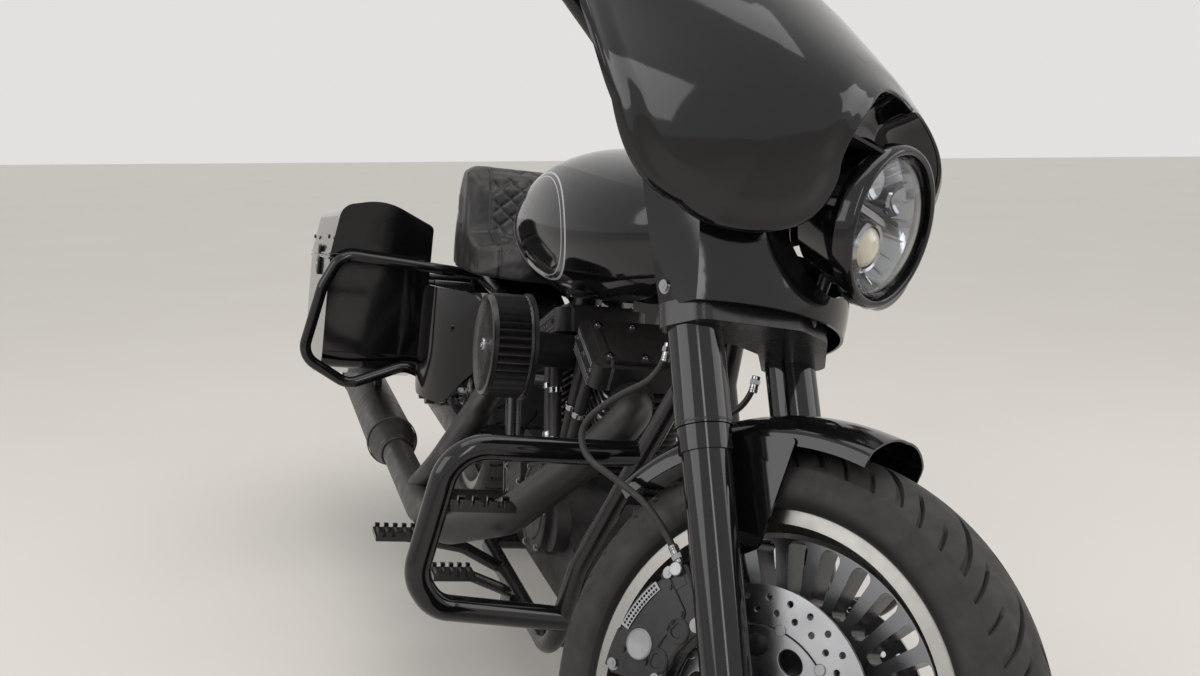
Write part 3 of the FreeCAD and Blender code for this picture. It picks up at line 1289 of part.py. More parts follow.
def main():
    os.makedirs("parts", exist_ok=True)
    shapes = {}
    for build in CHASSIS + OTHER_UNSTEERED:
        shapes[build.__name__] = build()
    for build in STEERED:
        shapes[build.__name__] = steered(build())
    up, ground = ground_plane()
    rotation = machine_rotation(up)
    turned = FreeCAD.Placement(Vec(0, 0, 0), rotation)
    bounds = FreeCAD.BoundBox()
    for shape in shapes.values():
        shape.Placement = turned.multiply(shape.Placement)
        bounds.add(shape.optimalBoundingBox(False, False))
    shift = Vec(-bounds.Center.x, -bounds.Center.y, -bounds.ZMin)
    for name, shape in shapes.items():
        shape.translate(shift)
        shape.exportStep("parts/" + name + ".step")
    placement = FreeCAD.Placement(shift, rotation)
    turn = FreeCAD.Rotation(HEAD_AXIS, STEER_DEG)
    print("solids", {name: len(shape.Solids) for name, shape in shapes.items()})
    print("bounds", bounds)
    report_point("origin", Vec(0, 0, 0), placement)
    report_axis("forward", Vec(1, 0, 0), rotation)
    report_axis("left", LEFT, rotation)
    report_axis("up", Vec(0, 0, 1), rotation)
    report_point("steering", head_point(LOWER_CLAMP_Z), placement)
    report_axis("steering", HEAD_AXIS, rotation)
    report_point("rear_wheel", REAR_AXLE, placement)
    report_axis("rear_wheel", LEFT, rotation)
    report_point("front_wheel", HEAD_FOOT + turn.multVec(FRONT_AXLE - HEAD_FOOT), placement)
    report_axis("front_wheel", turn.multVec(LEFT), rotation)
    report_point("side_stand", stand_pivot(), placement)
    report_axis("side_stand", stand_axis(), rotation)
    report_point("stand_foot", stand_foot(), placement)
    for label, side in [("lid_right", -1), ("lid_left", 1)]:
        report_point(label, Vec(BAG_FRONT_X, side * BAG_INNER_Y, SEAM_FRONT_Z), placement)
        report_axis(label, seam_direction() * side, rotation)


main()
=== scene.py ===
"""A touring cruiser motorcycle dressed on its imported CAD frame: finishes, formed pieces, hoses, light and camera."""
import json
import logging
import math
from dataclasses import dataclass, replace
from enum import Enum
from functools import cache
from typing import Any, Iterable, Sequence

import bmesh
import bpy
import numpy as np
from mathutils import Matrix, Vector


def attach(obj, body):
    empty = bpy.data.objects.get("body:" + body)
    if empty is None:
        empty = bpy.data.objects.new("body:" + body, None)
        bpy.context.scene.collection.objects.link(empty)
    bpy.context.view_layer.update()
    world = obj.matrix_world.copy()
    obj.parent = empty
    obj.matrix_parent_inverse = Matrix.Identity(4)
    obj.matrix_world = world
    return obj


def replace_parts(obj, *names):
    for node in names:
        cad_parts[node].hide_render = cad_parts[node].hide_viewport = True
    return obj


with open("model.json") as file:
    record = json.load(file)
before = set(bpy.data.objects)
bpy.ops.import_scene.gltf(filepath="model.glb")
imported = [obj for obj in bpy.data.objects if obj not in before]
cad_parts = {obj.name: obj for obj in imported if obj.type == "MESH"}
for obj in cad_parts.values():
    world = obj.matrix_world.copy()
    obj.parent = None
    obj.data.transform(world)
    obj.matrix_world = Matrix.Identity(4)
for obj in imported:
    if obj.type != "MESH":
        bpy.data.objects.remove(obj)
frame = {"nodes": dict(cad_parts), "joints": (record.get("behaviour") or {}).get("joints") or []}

LOG = logging.getLogger("motorcycle")

Floats = Sequence[float]
Shape = tuple[np.ndarray, list[tuple[int, ...]]]
Tree = bpy.types.NodeTree
Node = bpy.types.Node
Socket = bpy.types.NodeSocket
Thing = bpy.types.Object

# Places of the machine in its own axes, in millimetres: X forward, Y to the rider's left, Z up
TURN = 2 * math.pi
RAKE = math.radians(26.0)
FORK_ANGLE = math.radians(29.25)
STEER = math.radians(36.5)
LEAN = math.radians(7.25)
TYRE_RADIUS = 320.0
REAR_AXLE = Vector((0.0, 0.0, 320.0))
FRONT_AXLE = Vector((1613.0, 0.0, 320.0))
HEAD_FOOT = Vector((1783.0, 0.0, 0.0))
HEAD_AXIS = Vector((-math.sin(RAKE), 0.0, math.cos(RAKE)))
LEG_AXIS = Vector((-math.sin(FORK_ANGLE), 0.0, math.cos(FORK_ANGLE)))
LEG_Y = 125.0
LAMP = Vector((1531.0, 0.0, 918.0))
LAMP_RADIUS = 101.0
AHEAD = Vector((1.0, 0.0, 0.0))
LEFT = Vector((0.0, 1.0, 0.0))
UP = Vector((0.0, 0.0, 1.0))
MIRROR = np.array([1, -1, 1])


# Finishes

class Grain(Enum):
    """How a surface was made, which sets the pattern of its bump."""

    LACQUER = "sprayed lacquer, with a faint long orange peel"
    POWDER = "baked powder, with a fine short orange peel"
    WRINKLE = "wrinkle enamel or a sand casting, with tight closed pits"
    TURNED = "metal turned on a lathe, with rings round its axle"
    LEATHER = "embossed vinyl, with closed cells and soft creases"
    MOULDED = "moulded rubber or plastic, with a fine even texture"
    POLISHED = "glass or chrome, with almost no texture"


@dataclass(frozen=True)
class Finish:
    """One surface: what it is, its colours and how it was made."""

    name: str
    slot: str
    colour: str
    roughness: float
    metallic: float = 0.0
    grain: Grain = Grain.MOULDED
    grain_mm: float = 1.0
    depth_mm: float = 0.01
    mottle: str = ""
    mottle_mm: float = 60.0
    coat: float = 0.0
    dust: float = 0.0
    transmission: float = 0.0
    ior: float = 1.5
    wheel: str = "front"


# Deep black lacquer: mirror-like, it shows the room as soft bright bands
GLOSS_BLACK = Finish("black_lacquer", "gloss_black_paint", "#09090a", 0.075, grain=Grain.LACQUER, grain_mm=7.0,
                     depth_mm=0.006, mottle="#0d0d0f", dust=0.012)
# Baked powder coat on tubes and castings: black with a broad soft highlight
SATIN_BLACK = Finish("black_powder_coat", "satin_black_paint", "#0f0f10", 0.25, grain=Grain.POWDER, grain_mm=1.1,
                     depth_mm=0.012, mottle="#141415", dust=0.03)
# Wrinkle enamel on the crankcase and heads: dull, with pits that break up the highlight
ENGINE_BLACK = Finish("wrinkle_enamel", "engine_black", "#141415", 0.46, grain=Grain.WRINKLE, grain_mm=1.6,
                      depth_mm=0.09, mottle="#1d1d1e", dust=0.10)
# Heat-proof ceramic on the pipes: matt black, burnt slightly brown where they run hot
CERAMIC_BLACK = Finish("ceramic_black", "exhaust_black", "#131312", 0.42, grain=Grain.POWDER, grain_mm=0.8,
                       depth_mm=0.02, mottle="#1e1a17", mottle_mm=90.0, dust=0.08)
# Machined cast aluminium of hubs and carriers, with fine cutter rings
MACHINED = Finish("machined_aluminium", "machined_aluminium", "#a3a4a6", 0.30, 1.0, Grain.TURNED, 1.4, 0.008,
                  "#909294", 40.0)
# Machined faces of the cast rims and the bare edges of the cylinders' fins
RIM_CUT = Finish("rim_cut", "machined_aluminium", "#c9cacc", 0.30, 1.0, Grain.POWDER, 1.0, 0.006)
FIN_CUT = Finish("fin_cut", "machined_aluminium", "#9fa0a2", 0.34, 1.0, Grain.POWDER, 1.0, 0.006)
# Stainless rotor steel, ground flat: fine rings where the pads run
ROTOR_STEEL = Finish("ground_rotor_steel", "brake_steel", "#a9aaab", 0.30, 1.0, Grain.TURNED, 1.2, 0.008,
                     "#8d8e90", 30.0)
# Chromed steel of the bolts, fittings and rods
CHROME = Finish("chromed_steel", "machined_aluminium", "#a9aaab", 0.16, 1.0, Grain.POLISHED, 20.0, 0.002, "#98999b")
# Zinc-plated steel of the small screws
ZINC = Finish("zinc_plated_steel", "machined_aluminium", "#9c9d9e", 0.34, 1.0, Grain.POWDER, 0.9, 0.008, "#858688",
              12.0)
# Carbon-filled tyre rubber: charcoal, greyer where the road scrubs it
TYRE_RUBBER = Finish("tyre_rubber", "tyre_rubber", "#141415", 0.6, grain_mm=1.8, depth_mm=0.03, mottle="#1b1b1b",
                     mottle_mm=35.0, dust=0.06)
# Moulded rubber of hoses, grips and peg pads: soft and dull
BLACK_RUBBER = Finish("moulded_rubber", "black_rubber", "#121213", 0.55, grain_mm=0.9, depth_mm=0.02,
                      mottle="#19191a", dust=0.08)
# Injection-moulded ABS of the inner fairing and housings: a fine stipple
BLACK_PLASTIC = Finish("moulded_abs", "black_plastic", "#101011", 0.38, grain_mm=0.7, depth_mm=0.02, mottle="#161617",
                       dust=0.06)
# Embossed seat vinyl: closed cells, soft sheen on the crests
SEAT_VINYL = Finish("seat_vinyl", "seat_leather", "#131314", 0.42, grain=Grain.LEATHER, grain_mm=2.2, depth_mm=0.09,
                    mottle="#1b1b1c", mottle_mm=45.0, dust=0.08)
# Waxed polyester thread of the seat's seams
SEAT_THREAD = Finish("polyester_thread", "seat_leather", "#2c2c2e", 0.6, grain_mm=0.8, depth_mm=0.05)
# Clear polycarbonate of the headlight's cover
CLEAR_LENS = Finish("clear_polycarbonate", "clear_lens", "#fbfcfd", 0.02, depth_mm=0.0, transmission=1.0, ior=1.3)
# Smoked acrylic of the windshield
SMOKED_ACRYLIC = Finish("smoked_acrylic", "tinted_screen", "#16181a", 0.04, depth_mm=0.0, transmission=0.75, ior=1.49,
                        coat=1.0)
# Red acrylic of the tail lamps
RED_LENS = Finish("red_acrylic", "red_lens", "#7c0a0c", 0.08, depth_mm=0.0, mottle="#93100f", transmission=0.25,
                  ior=1.49, coat=1.0)
# Vacuum-metallised reflector of the headlight: a soft mirror
REFLECTOR = Finish("metallised_reflector", "clear_lens", "#94979b", 0.09, 1.0, Grain.POLISHED, 20.0, 0.001, "#85888d")
# Projector face in the lamp's lower half: opaque warm cream with a brighter cream mottle, a painted warm reflection and
# highlight in place of clear glass
PROJECTOR_PAINTED_REFLECTION = Finish("projector_painted_reflection", "clear_lens", "#e9dfc8", 0.05, depth_mm=0.0, mottle="#fff4d8",
                         mottle_mm=14.0, coat=1.0)


def linear(code: str) -> tuple[float, float, float, float]:
    """Turns an sRGB hex colour into a linear one.

    Args:
        code: The colour as "#rrggbb".

    Returns:
        The linear red, green, blue and an alpha of 1.
    """
    parts = [int(code[i:i + 2], 16) / 255 for i in (1, 3, 5)]
    red, green, blue = [c / 12.92 if c <= 0.04045 else ((c + 0.055) / 1.055) ** 2.4 for c in parts]
    return red, green, blue, 1.0


def add_node(tree: Tree, kind: str, settings: dict[Any, Any] | None = None,
             links: dict[Any, Socket] | None = None) -> Node:
    """Adds a node with its settings and the links into it.

    Args:
        tree: The node tree.
        kind: The node's type.
        settings: Values by input name or number, or by the name of a property of the node.
        links: Sockets that feed the node, by its input name or number.

    Returns:
        The new node.
    """
    node = tree.nodes.new(kind)
    properties = {key: value for key, value in (settings or {}).items() if isinstance(key, str) and hasattr(node, key)}
    for key, value in properties.items():
        setattr(node, key, value)
    for key, value in (settings or {}).items():
        if key not in properties:
            node.inputs[key].default_value = value
    for key, socket in (links or {}).items():
        tree.links.new(socket, node.inputs[key])
    return node


def calc(tree: Tree, operation: str, *values: Any, vector: bool = False) -> Socket:
    """Adds a maths node.

    Args:
        tree: The node tree.
        operation: What it does.
        values: Numbers or sockets.
        vector: Whether it works on vectors.

    Returns:
        The result.
    """
    links = {i: value for i, value in enumerate(values) if isinstance(value, Socket)}
    settings = {i: value for i, value in enumerate(values) if i not in links}
    node = add_node(tree, "ShaderNodeVectorMath" if vector else "ShaderNodeMath", {"operation": operation, **settings},
                    links)
    return node.outputs["Value" if operation in ("DOT_PRODUCT", "LENGTH") else 0]


def noise(tree: Tree, scale: float, detail: float, place: Socket, flat: bool = False) -> Socket:
    """Adds a noise.

    Args:
        tree: The node tree.
        scale: Its scale.
        detail: Its detail.
        place: What it runs over.
        flat: Whether that is one number.

    Returns:
        Its level.
    """
    kind = {"noise_dimensions": "1D"} if flat else {}
    return add_node(tree, "ShaderNodeTexNoise", {**kind, "Scale": scale, "Detail": detail},
                    {"W" if flat else "Vector": place}).outputs[0]


def blend(tree: Tree, share: Socket, first: Any, second: Any) -> Socket:
    """Mixes two colours.

    Args:
        tree: The node tree.
        share: The second one's share.
        first: A hex colour or a socket.
        second: A hex colour or a socket.

    Returns:
        The mixed colour.
    """
    settings: dict[Any, Any] = {"data_type": "RGBA"}
    links = {0: share}
    for index, colour in ((6, first), (7, second)):
        if isinstance(colour, str):
            settings[index] = linear(colour)
        else:
            links[index] = colour
    return add_node(tree, "ShaderNodeMix", settings, links).outputs[2]


class Paint:
    """Builds the materials."""

    @staticmethod
    def start(name: str) -> tuple[bpy.types.Material, Tree, Socket]:
        """Starts an empty material.

        Args:
            name: Its name.

        Returns:
            The material, its tree and the surface's coordinates.
        """
        material = bpy.data.materials.new(name)
        material.use_nodes = True
        tree = material.node_tree
        tree.nodes.clear()
        return material, tree, add_node(tree, "ShaderNodeTexCoord").outputs["Object"]

    @staticmethod
    def end(tree: Tree, shader: Node) -> None:
        """Ends a material with its shader."""
        add_node(tree, "ShaderNodeOutputMaterial", links={"Surface": shader.outputs[0]})

    @staticmethod
    def lay(node: str, material: bpy.types.Material) -> None:
        """Gives a carried-over CAD piece its material."""
        for slot in frame["nodes"][node].material_slots:
            slot.material = material

    @staticmethod
    @cache
    def of(finish: Finish) -> bpy.types.Material:
        """Makes a finish's material once.

        Args:
            finish: The surface.

        Returns:
            Its material.
        """
        material, tree, place = Paint.start(finish.name)
        Paint.end(tree, Paint.shader(tree, finish, place))
        return material

    @staticmethod
    def parted(tree: Tree, mask: Socket, first: Node, second: Node) -> None:
        """Ends a material with two shaders, the second where the mask is 1."""
        Paint.end(tree, add_node(
            tree, "ShaderNodeMixShader", links={0: mask, 1: first.outputs[0], 2: second.outputs[0]}))

    @staticmethod
    def shader(tree: Tree, finish: Finish, place: Socket) -> Node:
        """Adds the finish's shader with its patterns.

        Args:
            tree: The material's tree.
            finish: The surface.
            place: The surface's coordinates.

        Returns:
            The shader.
        """
        shader = add_node(tree, "ShaderNodeBsdfPrincipled", {
            "Base Color": linear(finish.colour), "Metallic": finish.metallic, "Roughness": finish.roughness,
            "Coat Weight": finish.coat, "Coat Roughness": 0.03, "Transmission Weight": finish.transmission})
        if finish.metallic < 1:
            shader.inputs["IOR"].default_value = finish.ior
        if finish.mottle:
            colour = blend(tree, noise(tree, 1000 / finish.mottle_mm, 4.0, place), finish.colour, finish.mottle)
            if finish.dust > 0:
                colour = Paint.dusted(tree, colour, finish.dust, place)
            tree.links.new(colour, shader.inputs["Base Color"])
        if not finish.transmission:
            spread = add_node(
                tree, "ShaderNodeMapRange",
                {1: 0.3, 2: 0.75, 3: finish.roughness * 0.85, 4: finish.roughness * 1.25 + 0.01},
                {0: noise(tree, 38.0, 5.0, place)})
            tree.links.new(spread.outputs[0], shader.inputs["Roughness"])
        if finish.depth_mm > 0:
            tree.links.new(Paint.bump(tree, finish, place), shader.inputs["Normal"])
        return shader

    @staticmethod
    def dusted(tree: Tree, colour: Socket, amount: float, place: Socket) -> Socket:
        """Lays grey dust on the upward faces.

        Args:
            tree: The material's tree.
            colour: The clean colour.
            amount: The most that dust covers, from 0 to 1.
            place: The surface's coordinates.

        Returns:
            The dusted colour.
        """
        normal = add_node(tree, "ShaderNodeNewGeometry").outputs["Normal"]
        height = add_node(tree, "ShaderNodeSeparateXYZ", links={0: normal}).outputs[2]
        up = add_node(tree, "ShaderNodeMapRange", {1: -0.2, 2: 1.0, 3: 0.0, 4: 2.0 * amount}, {0: height}).outputs[0]
        return blend(tree, calc(tree, "MULTIPLY", up, noise(tree, 90.0, 6.0, place)), colour, "#8b867e")

    @staticmethod
    def bump(tree: Tree, finish: Finish, place: Socket) -> Socket:
        """Adds the bump that the surface's making left.

        Args:
            tree: The material's tree.
            finish: The surface.
            place: The surface's coordinates.

        Returns:
            The bumped normal.
        """
        scale = 1000 / finish.grain_mm
        if finish.grain is Grain.TURNED:
            height = noise(tree, scale, 3.0, radius_from_axle(tree, place, finish.wheel), True)
        elif finish.grain in (Grain.WRINKLE, Grain.LEATHER):
            feature = "DISTANCE_TO_EDGE" if finish.grain is Grain.LEATHER else "F1"
            height = add_node(tree, "ShaderNodeTexVoronoi", {"feature": feature, "Scale": scale},
                              {"Vector": place}).outputs[0]
        else:
            height = noise(tree, scale, 2.0, place)
        return add_node(tree, "ShaderNodeBump", {"Strength": 1.0, "Distance": finish.depth_mm / 1000},
                        {"Height": height}).outputs[0]


# Frames and shapes

class Machine:
    """The motorcycle's axes in the frame, worked out from its joints."""

    def __init__(self, joints: Iterable[dict[str, Any]]) -> None:
        """Reads the wheel and steering axes.

        Args:
            joints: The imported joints.
        """
        by_name = {joint["name"]: joint for joint in joints}
        self.left = Vector(by_name["rear_wheel_spin"]["axis"]).normalized()
        head = Vector(by_name["steering"]["axis"]).normalized()
        across = self.left.cross(head)
        self.forward = across * math.cos(RAKE) - head * math.sin(RAKE)
        self.up = across * math.sin(RAKE) + head * math.cos(RAKE)
        self.origin = Vector(by_name["rear_wheel_spin"]["pos_m"]) - self.up * (TYRE_RADIUS / 1000)
        columns = [axis * 0.001 for axis in (self.forward, self.left, self.up)]
        self.upright = Matrix([[c[row] for c in columns] + [self.origin[row]] for row in range(3)] + [[0, 0, 0, 1]])
        pivot = Matrix.Translation(HEAD_FOOT)
        self.steered = self.upright @ pivot @ Matrix.Rotation(STEER, 4, HEAD_AXIS) @ pivot.inverted()

    def matrix(self, steered: bool) -> Matrix:
        """Returns the matrix from machine millimetres to the frame, for a chassis or a steered piece."""
        return self.steered if steered else self.upright


MACHINE = Machine(frame["joints"])
AXLES: dict[str, tuple[Vector, bool]] = {"front": (FRONT_AXLE, True), "rear": (REAR_AXLE, False)}


def radius_from_axle(tree: Tree, place: Socket, wheel: str) -> Socket:
    """Adds the distance from a wheel's axle line, in metres.

    Args:
        tree: The material's tree.
        place: The surface's coordinates.
        wheel: Front or rear.

    Returns:
        The distance.
    """
    centre, steered = AXLES[wheel]
    matrix = MACHINE.matrix(steered)
    arm = calc(tree, "SUBTRACT", place, tuple(matrix @ centre), vector=True)
    cross = calc(tree, "CROSS_PRODUCT", arm, tuple((matrix.to_3x3() @ LEFT).normalized()), vector=True)
    return calc(tree, "LENGTH", cross, vector=True)


def distance_along(tree: Tree, place: Socket, axis: Vector, offset: float) -> Socket:
    """Adds the distance along a machine axis, in millimetres from an offset on it."""
    dot = calc(tree, "DOT_PRODUCT", place, tuple(axis * 1000), vector=True)
    return calc(tree, "SUBTRACT", dot, MACHINE.origin.dot(axis) * 1000 + offset)


def add_object(name: str, data: Any) -> Thing:
    """Adds an object to the scene.

    Args:
        name: Its name.
        data: Its data.

    Returns:
        The object.
    """
    thing = bpy.data.objects.new(name, data)
    bpy.context.scene.collection.objects.link(thing)
    return thing


def baked(thing: Thing) -> bpy.types.Mesh:
    """Returns an object's mesh with its modifiers worked in."""
    graph = bpy.context.evaluated_depsgraph_get()
    return bpy.data.meshes.new_from_object(thing.evaluated_get(graph), depsgraph=graph)


def spoke(radius: float, turn: float, y: float = 0.0) -> Vector:
    """Returns a point at a radius and a turn about a wheel's axle."""
    return Vector((radius * math.cos(turn), y, radius * math.sin(turn)))


def round_about(count: int, start: float = 0.0) -> np.ndarray:
    """Returns even turns of a full circle."""
    return np.linspace(start, start + TURN, count + 1)[:-1]


def grid(points: np.ndarray, wrap_rows: bool = False, wrap_columns: bool = False) -> Shape:
    """Joins a table of points into quads.

    Args:
        points: Points as rows by columns by 3.
        wrap_rows: Whether the last row joins the first.
        wrap_columns: Whether the last column joins the first.

    Returns:
        The points and faces.
    """
    rows, columns = points.shape[:2]
    index = np.arange(rows * columns).reshape(rows, columns)
    if wrap_rows:
        index = np.vstack([index, index[:1]])
    if wrap_columns:
        index = np.hstack([index, index[:, :1]])
    quads = np.stack([index[:-1, :-1], index[:-1, 1:], index[1:, 1:], index[1:, :-1]], axis=-1)
    return points.reshape(-1, 3), [tuple(q) for q in quads.reshape(-1, 4).tolist()]


def lathe(profile: Sequence[Floats], centre: Floats, axis: Floats, steps: int = 64, closed: bool = False) -> Shape:
    """Turns a profile about an axis.

    Args:
        profile: (distance along the axis, radius) points.
        centre: A point of the axis.
        axis: Its direction.
        steps: Segments round it.
        closed: Whether the profile is a loop.

    Returns:
        The points and faces.
    """
    along = Vector(axis).normalized()
    side = along.orthogonal().normalized()
    turn = np.linspace(0, TURN, steps, endpoint=False)[:, None]
    table = np.array(profile, float)[:, :, None, None]
    circle = np.cos(turn) * np.array(side) + np.sin(turn) * np.array(along.cross(side))
    return grid(np.array(centre) + table[:, 0] * np.array(along) + table[:, 1] * circle[None], closed, True)


def rounded(points: Sequence[Floats], bend: float, step_deg: float = 9.0) -> np.ndarray:
    """Rounds the corners of a path with arcs.

    Args:
        points: The corners.
        bend: The arcs' radius.
        step_deg: The turn between two points of an arc.

    Returns:
        The path's points.
    """
    corners = [Vector(p) for p in points]
    path = [corners[0]]
    for before, here, after in zip(corners, corners[1:], corners[2:]):
        back, ahead = (before - here), (after - here)
        turn = math.pi - back.angle(ahead)
        reach = min(bend * math.tan(turn / 2), 0.45 * min(back.length, ahead.length))
        if turn < 0.02 or reach <= 0:
            path.append(here)
            continue
        start, end = here + back.normalized() * reach, here + ahead.normalized() * reach
        radius = reach / math.tan(turn / 2)
        middle = here + (back.normalized() + ahead.normalized()).normalized() * (radius / math.cos(turn / 2))
        count = max(2, round(math.degrees(turn) / step_deg))
        for way in (-1, 1):
            arc = [middle + Matrix.Rotation(way * turn * i / count, 3, back.cross(ahead)) @ (start - middle)
                   for i in range(count + 1)]
            if (arc[-1] - end).length <= 0.1 * radius:
                break
        path += arc
    path.append(corners[-1])
    return np.array([tuple(p) for p in path])


def soft_loop(points: Sequence[Floats], bend: float) -> list[tuple[float, float]]:
    """Rounds every corner of a closed flat outline.

    Args:
        points: The corners.
        bend: The arcs' radius.

    Returns:
        The outline's points.
    """
    knots = [(p[0], p[1], 0.0) for p in points]
    start = tuple((a + b) / 2 for a, b in zip(knots[-1], knots[0]))
    return [(float(p[0]), float(p[1])) for p in rounded([start, *knots, start], bend, 15)[:-1]]


def tube(path: np.ndarray, radius: float, sides: int) -> Shape:
    """Wraps a round tube with closed ends about a path.

    Args:
        path: The path's points.
        radius: The tube's radius.
        sides: Segments round the tube.

    Returns:
        The points and faces.
    """
    ahead = np.gradient(path, axis=0)
    ahead /= np.linalg.norm(ahead, axis=1)[:, None]
    side = np.array(Vector(ahead[0]).orthogonal().normalized())
    turn = np.linspace(0, TURN, sides, endpoint=False)[:, None]
    rings = []
    for point, way in zip(path, ahead):
        side = side - way * side.dot(way)
        side /= np.linalg.norm(side)
        rings.append(point + radius * (np.cos(turn) * side + np.sin(turn) * np.cross(way, side)))
    points, faces = grid(np.array(rings), wrap_columns=True)
    last = (len(path) - 1) * sides
    return points, faces + [tuple(range(sides)), tuple(range(last, last + sides))]


def bar(start: Floats, end: Floats, radius: float, sides: int = 24, chamfer: float = 0.0) -> Shape:
    """Makes a round bar between two points.

    Args:
        start: Its first end.
        end: Its second end.
        radius: Its radius.
        sides: Segments round it.
        chamfer: Its ends' chamfer.

    Returns:
        The points and faces.
    """
    run = Vector(end) - Vector(start)
    edge, length = min(chamfer, radius * 0.5), run.length
    return lathe([(0, 0), (0, radius - edge), (edge, radius), (length - edge, radius), (length, radius - edge),
                  (length, 0)], Vector(start), run, sides)


def plate(outlines: Sequence[Sequence[Floats]], thick: float, bevel: float, place: Matrix) -> Shape:
    """Makes a flat plate with holes and bevelled edges.

    Args:
        outlines: Closed outlines in the plate's plane; those inside others are holes.
        thick: Its thickness.
        bevel: Its edges' bevel.
        place: From the plate's plane to the machine.

    Returns:
        The points and faces.
    """
    curve = bpy.data.curves.new("outline", "CURVE")
    curve.dimensions, curve.fill_mode = "2D", "BOTH"
    curve.extrude, curve.bevel_depth, curve.bevel_resolution = max(thick / 2 - bevel, 0.0), bevel, 1
    curve.offset = -bevel
    for points in outlines:
        spline = curve.splines.new("POLY")
        spline.points.add(len(points) - 1)
        spline.points.foreach_set("co", [value for x, y in points for value in (x, y, 0.0, 1.0)])
        spline.use_cyclic_u = True
    holder = bpy.data.objects.new("outline", curve)
    mesh = bpy.data.meshes.new_from_object(holder)
    mesh.transform(place)
    shape = np.array([tuple(v.co) for v in mesh.vertices]), [tuple(p.vertices) for p in mesh.polygons]
    bpy.data.objects.remove(holder)
    bpy.data.curves.remove(curve)
    bpy.data.meshes.remove(mesh)
    return shape


def ring(radius: float, count: int, centre: Floats = (0.0, 0.0)) -> list[tuple[float, float]]:
    """Returns a circle's points in a plate's plane."""
    turns = [TURN * i / count for i in range(count)]
    return [(centre[0] + radius * math.cos(t), centre[1] + radius * math.sin(t)) for t in turns]


def side_plane(x: float, y: float, z: float) -> Matrix:
    """Returns the place of a plate that stands fore and aft: its own X forward and its own Y up."""
    return Matrix(((1, 0, 0, x), (0, 0, -1, y), (0, 1, 0, z), (0, 0, 0, 1)))


class Form:
    """Gathers shapes in machine millimetres and turns them into one mesh object."""

    def __init__(self, name: str, body: str, steered: bool = False) -> None:
        """Starts an empty form.

        Args:
            name: The piece's name.
            body: The body it rides on.
            steered: Whether its shapes are drawn with the steering straight ahead and turned with it.
        """
        self.name, self.body, self.steered = name, body, steered
        self.points: list[np.ndarray] = []
        self.faces: list[tuple[int, ...]] = []
        self.kinds: list[int] = []
        self.finishes: list[Finish] = []
        self.count = 0

    def add(self, shape: Shape, finish: Finish) -> None:
        """Adds a shape.

        Args:
            shape: Its points and faces.
            finish: Its finish.
        """
        points, faces = shape
        if finish not in self.finishes:
            self.finishes.append(finish)
        self.kinds += [self.finishes.index(finish)] * len(faces)
        self.faces += [tuple(i + self.count for i in face) for face in faces]
        self.points.append(np.asarray(points, float))
        self.count += len(points)

    def both(self, shape: Shape, finish: Finish) -> None:
        """Adds a shape of the right side and its mirror on the left."""
        self.add(shape, finish)
        self.add((shape[0] * MIRROR, [tuple(reversed(face)) for face in shape[1]]), finish)

    def turned(self, profile: Sequence[Floats], centre: Floats, axis: Floats, steps: int, finish: Finish) -> None:
        """Adds a turned shape."""
        self.add(lathe(profile, centre, axis, steps), finish)

    def rod(self, start: Floats, end: Floats, radius: float, sides: int, chamfer: float, finish: Finish) -> None:
        """Adds a round bar."""
        self.add(bar(start, end, radius, sides, chamfer), finish)

    def done(self, sharp_deg: float = 38.0, merge: float = 0.02) -> Thing:
        """Makes the object, closes its doubles, turns its faces outwards and puts it on its body.

        Args:
            sharp_deg: Edges bent more than this stay crisp.
            merge: Points closer than this become one, in millimetres.

        Returns:
            The finished piece.
        """
        mesh = bpy.data.meshes.new(self.name)
        mesh.from_pydata(np.vstack(self.points).tolist(), [], self.faces)
        mesh.polygons.foreach_set("material_index", self.kinds)
        solid = bmesh.new()
        solid.from_mesh(mesh)
        bmesh.ops.remove_doubles(solid, verts=solid.verts, dist=merge)
        bmesh.ops.recalc_face_normals(solid, faces=solid.faces)
        solid.to_mesh(mesh)
        solid.free()
        mesh.polygons.foreach_set("use_smooth", [True] * len(mesh.polygons))
        mesh.set_sharp_from_angle(angle=math.radians(sharp_deg))
        mesh.transform(MACHINE.matrix(self.steered))
        for finish in self.finishes:
            mesh.materials.append(Paint.of(finish))
        piece = add_object(self.name, mesh)
        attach(piece, self.body)
        LOG.info("%s: %d faces", self.name, len(mesh.polygons))
        return piece


# Studio

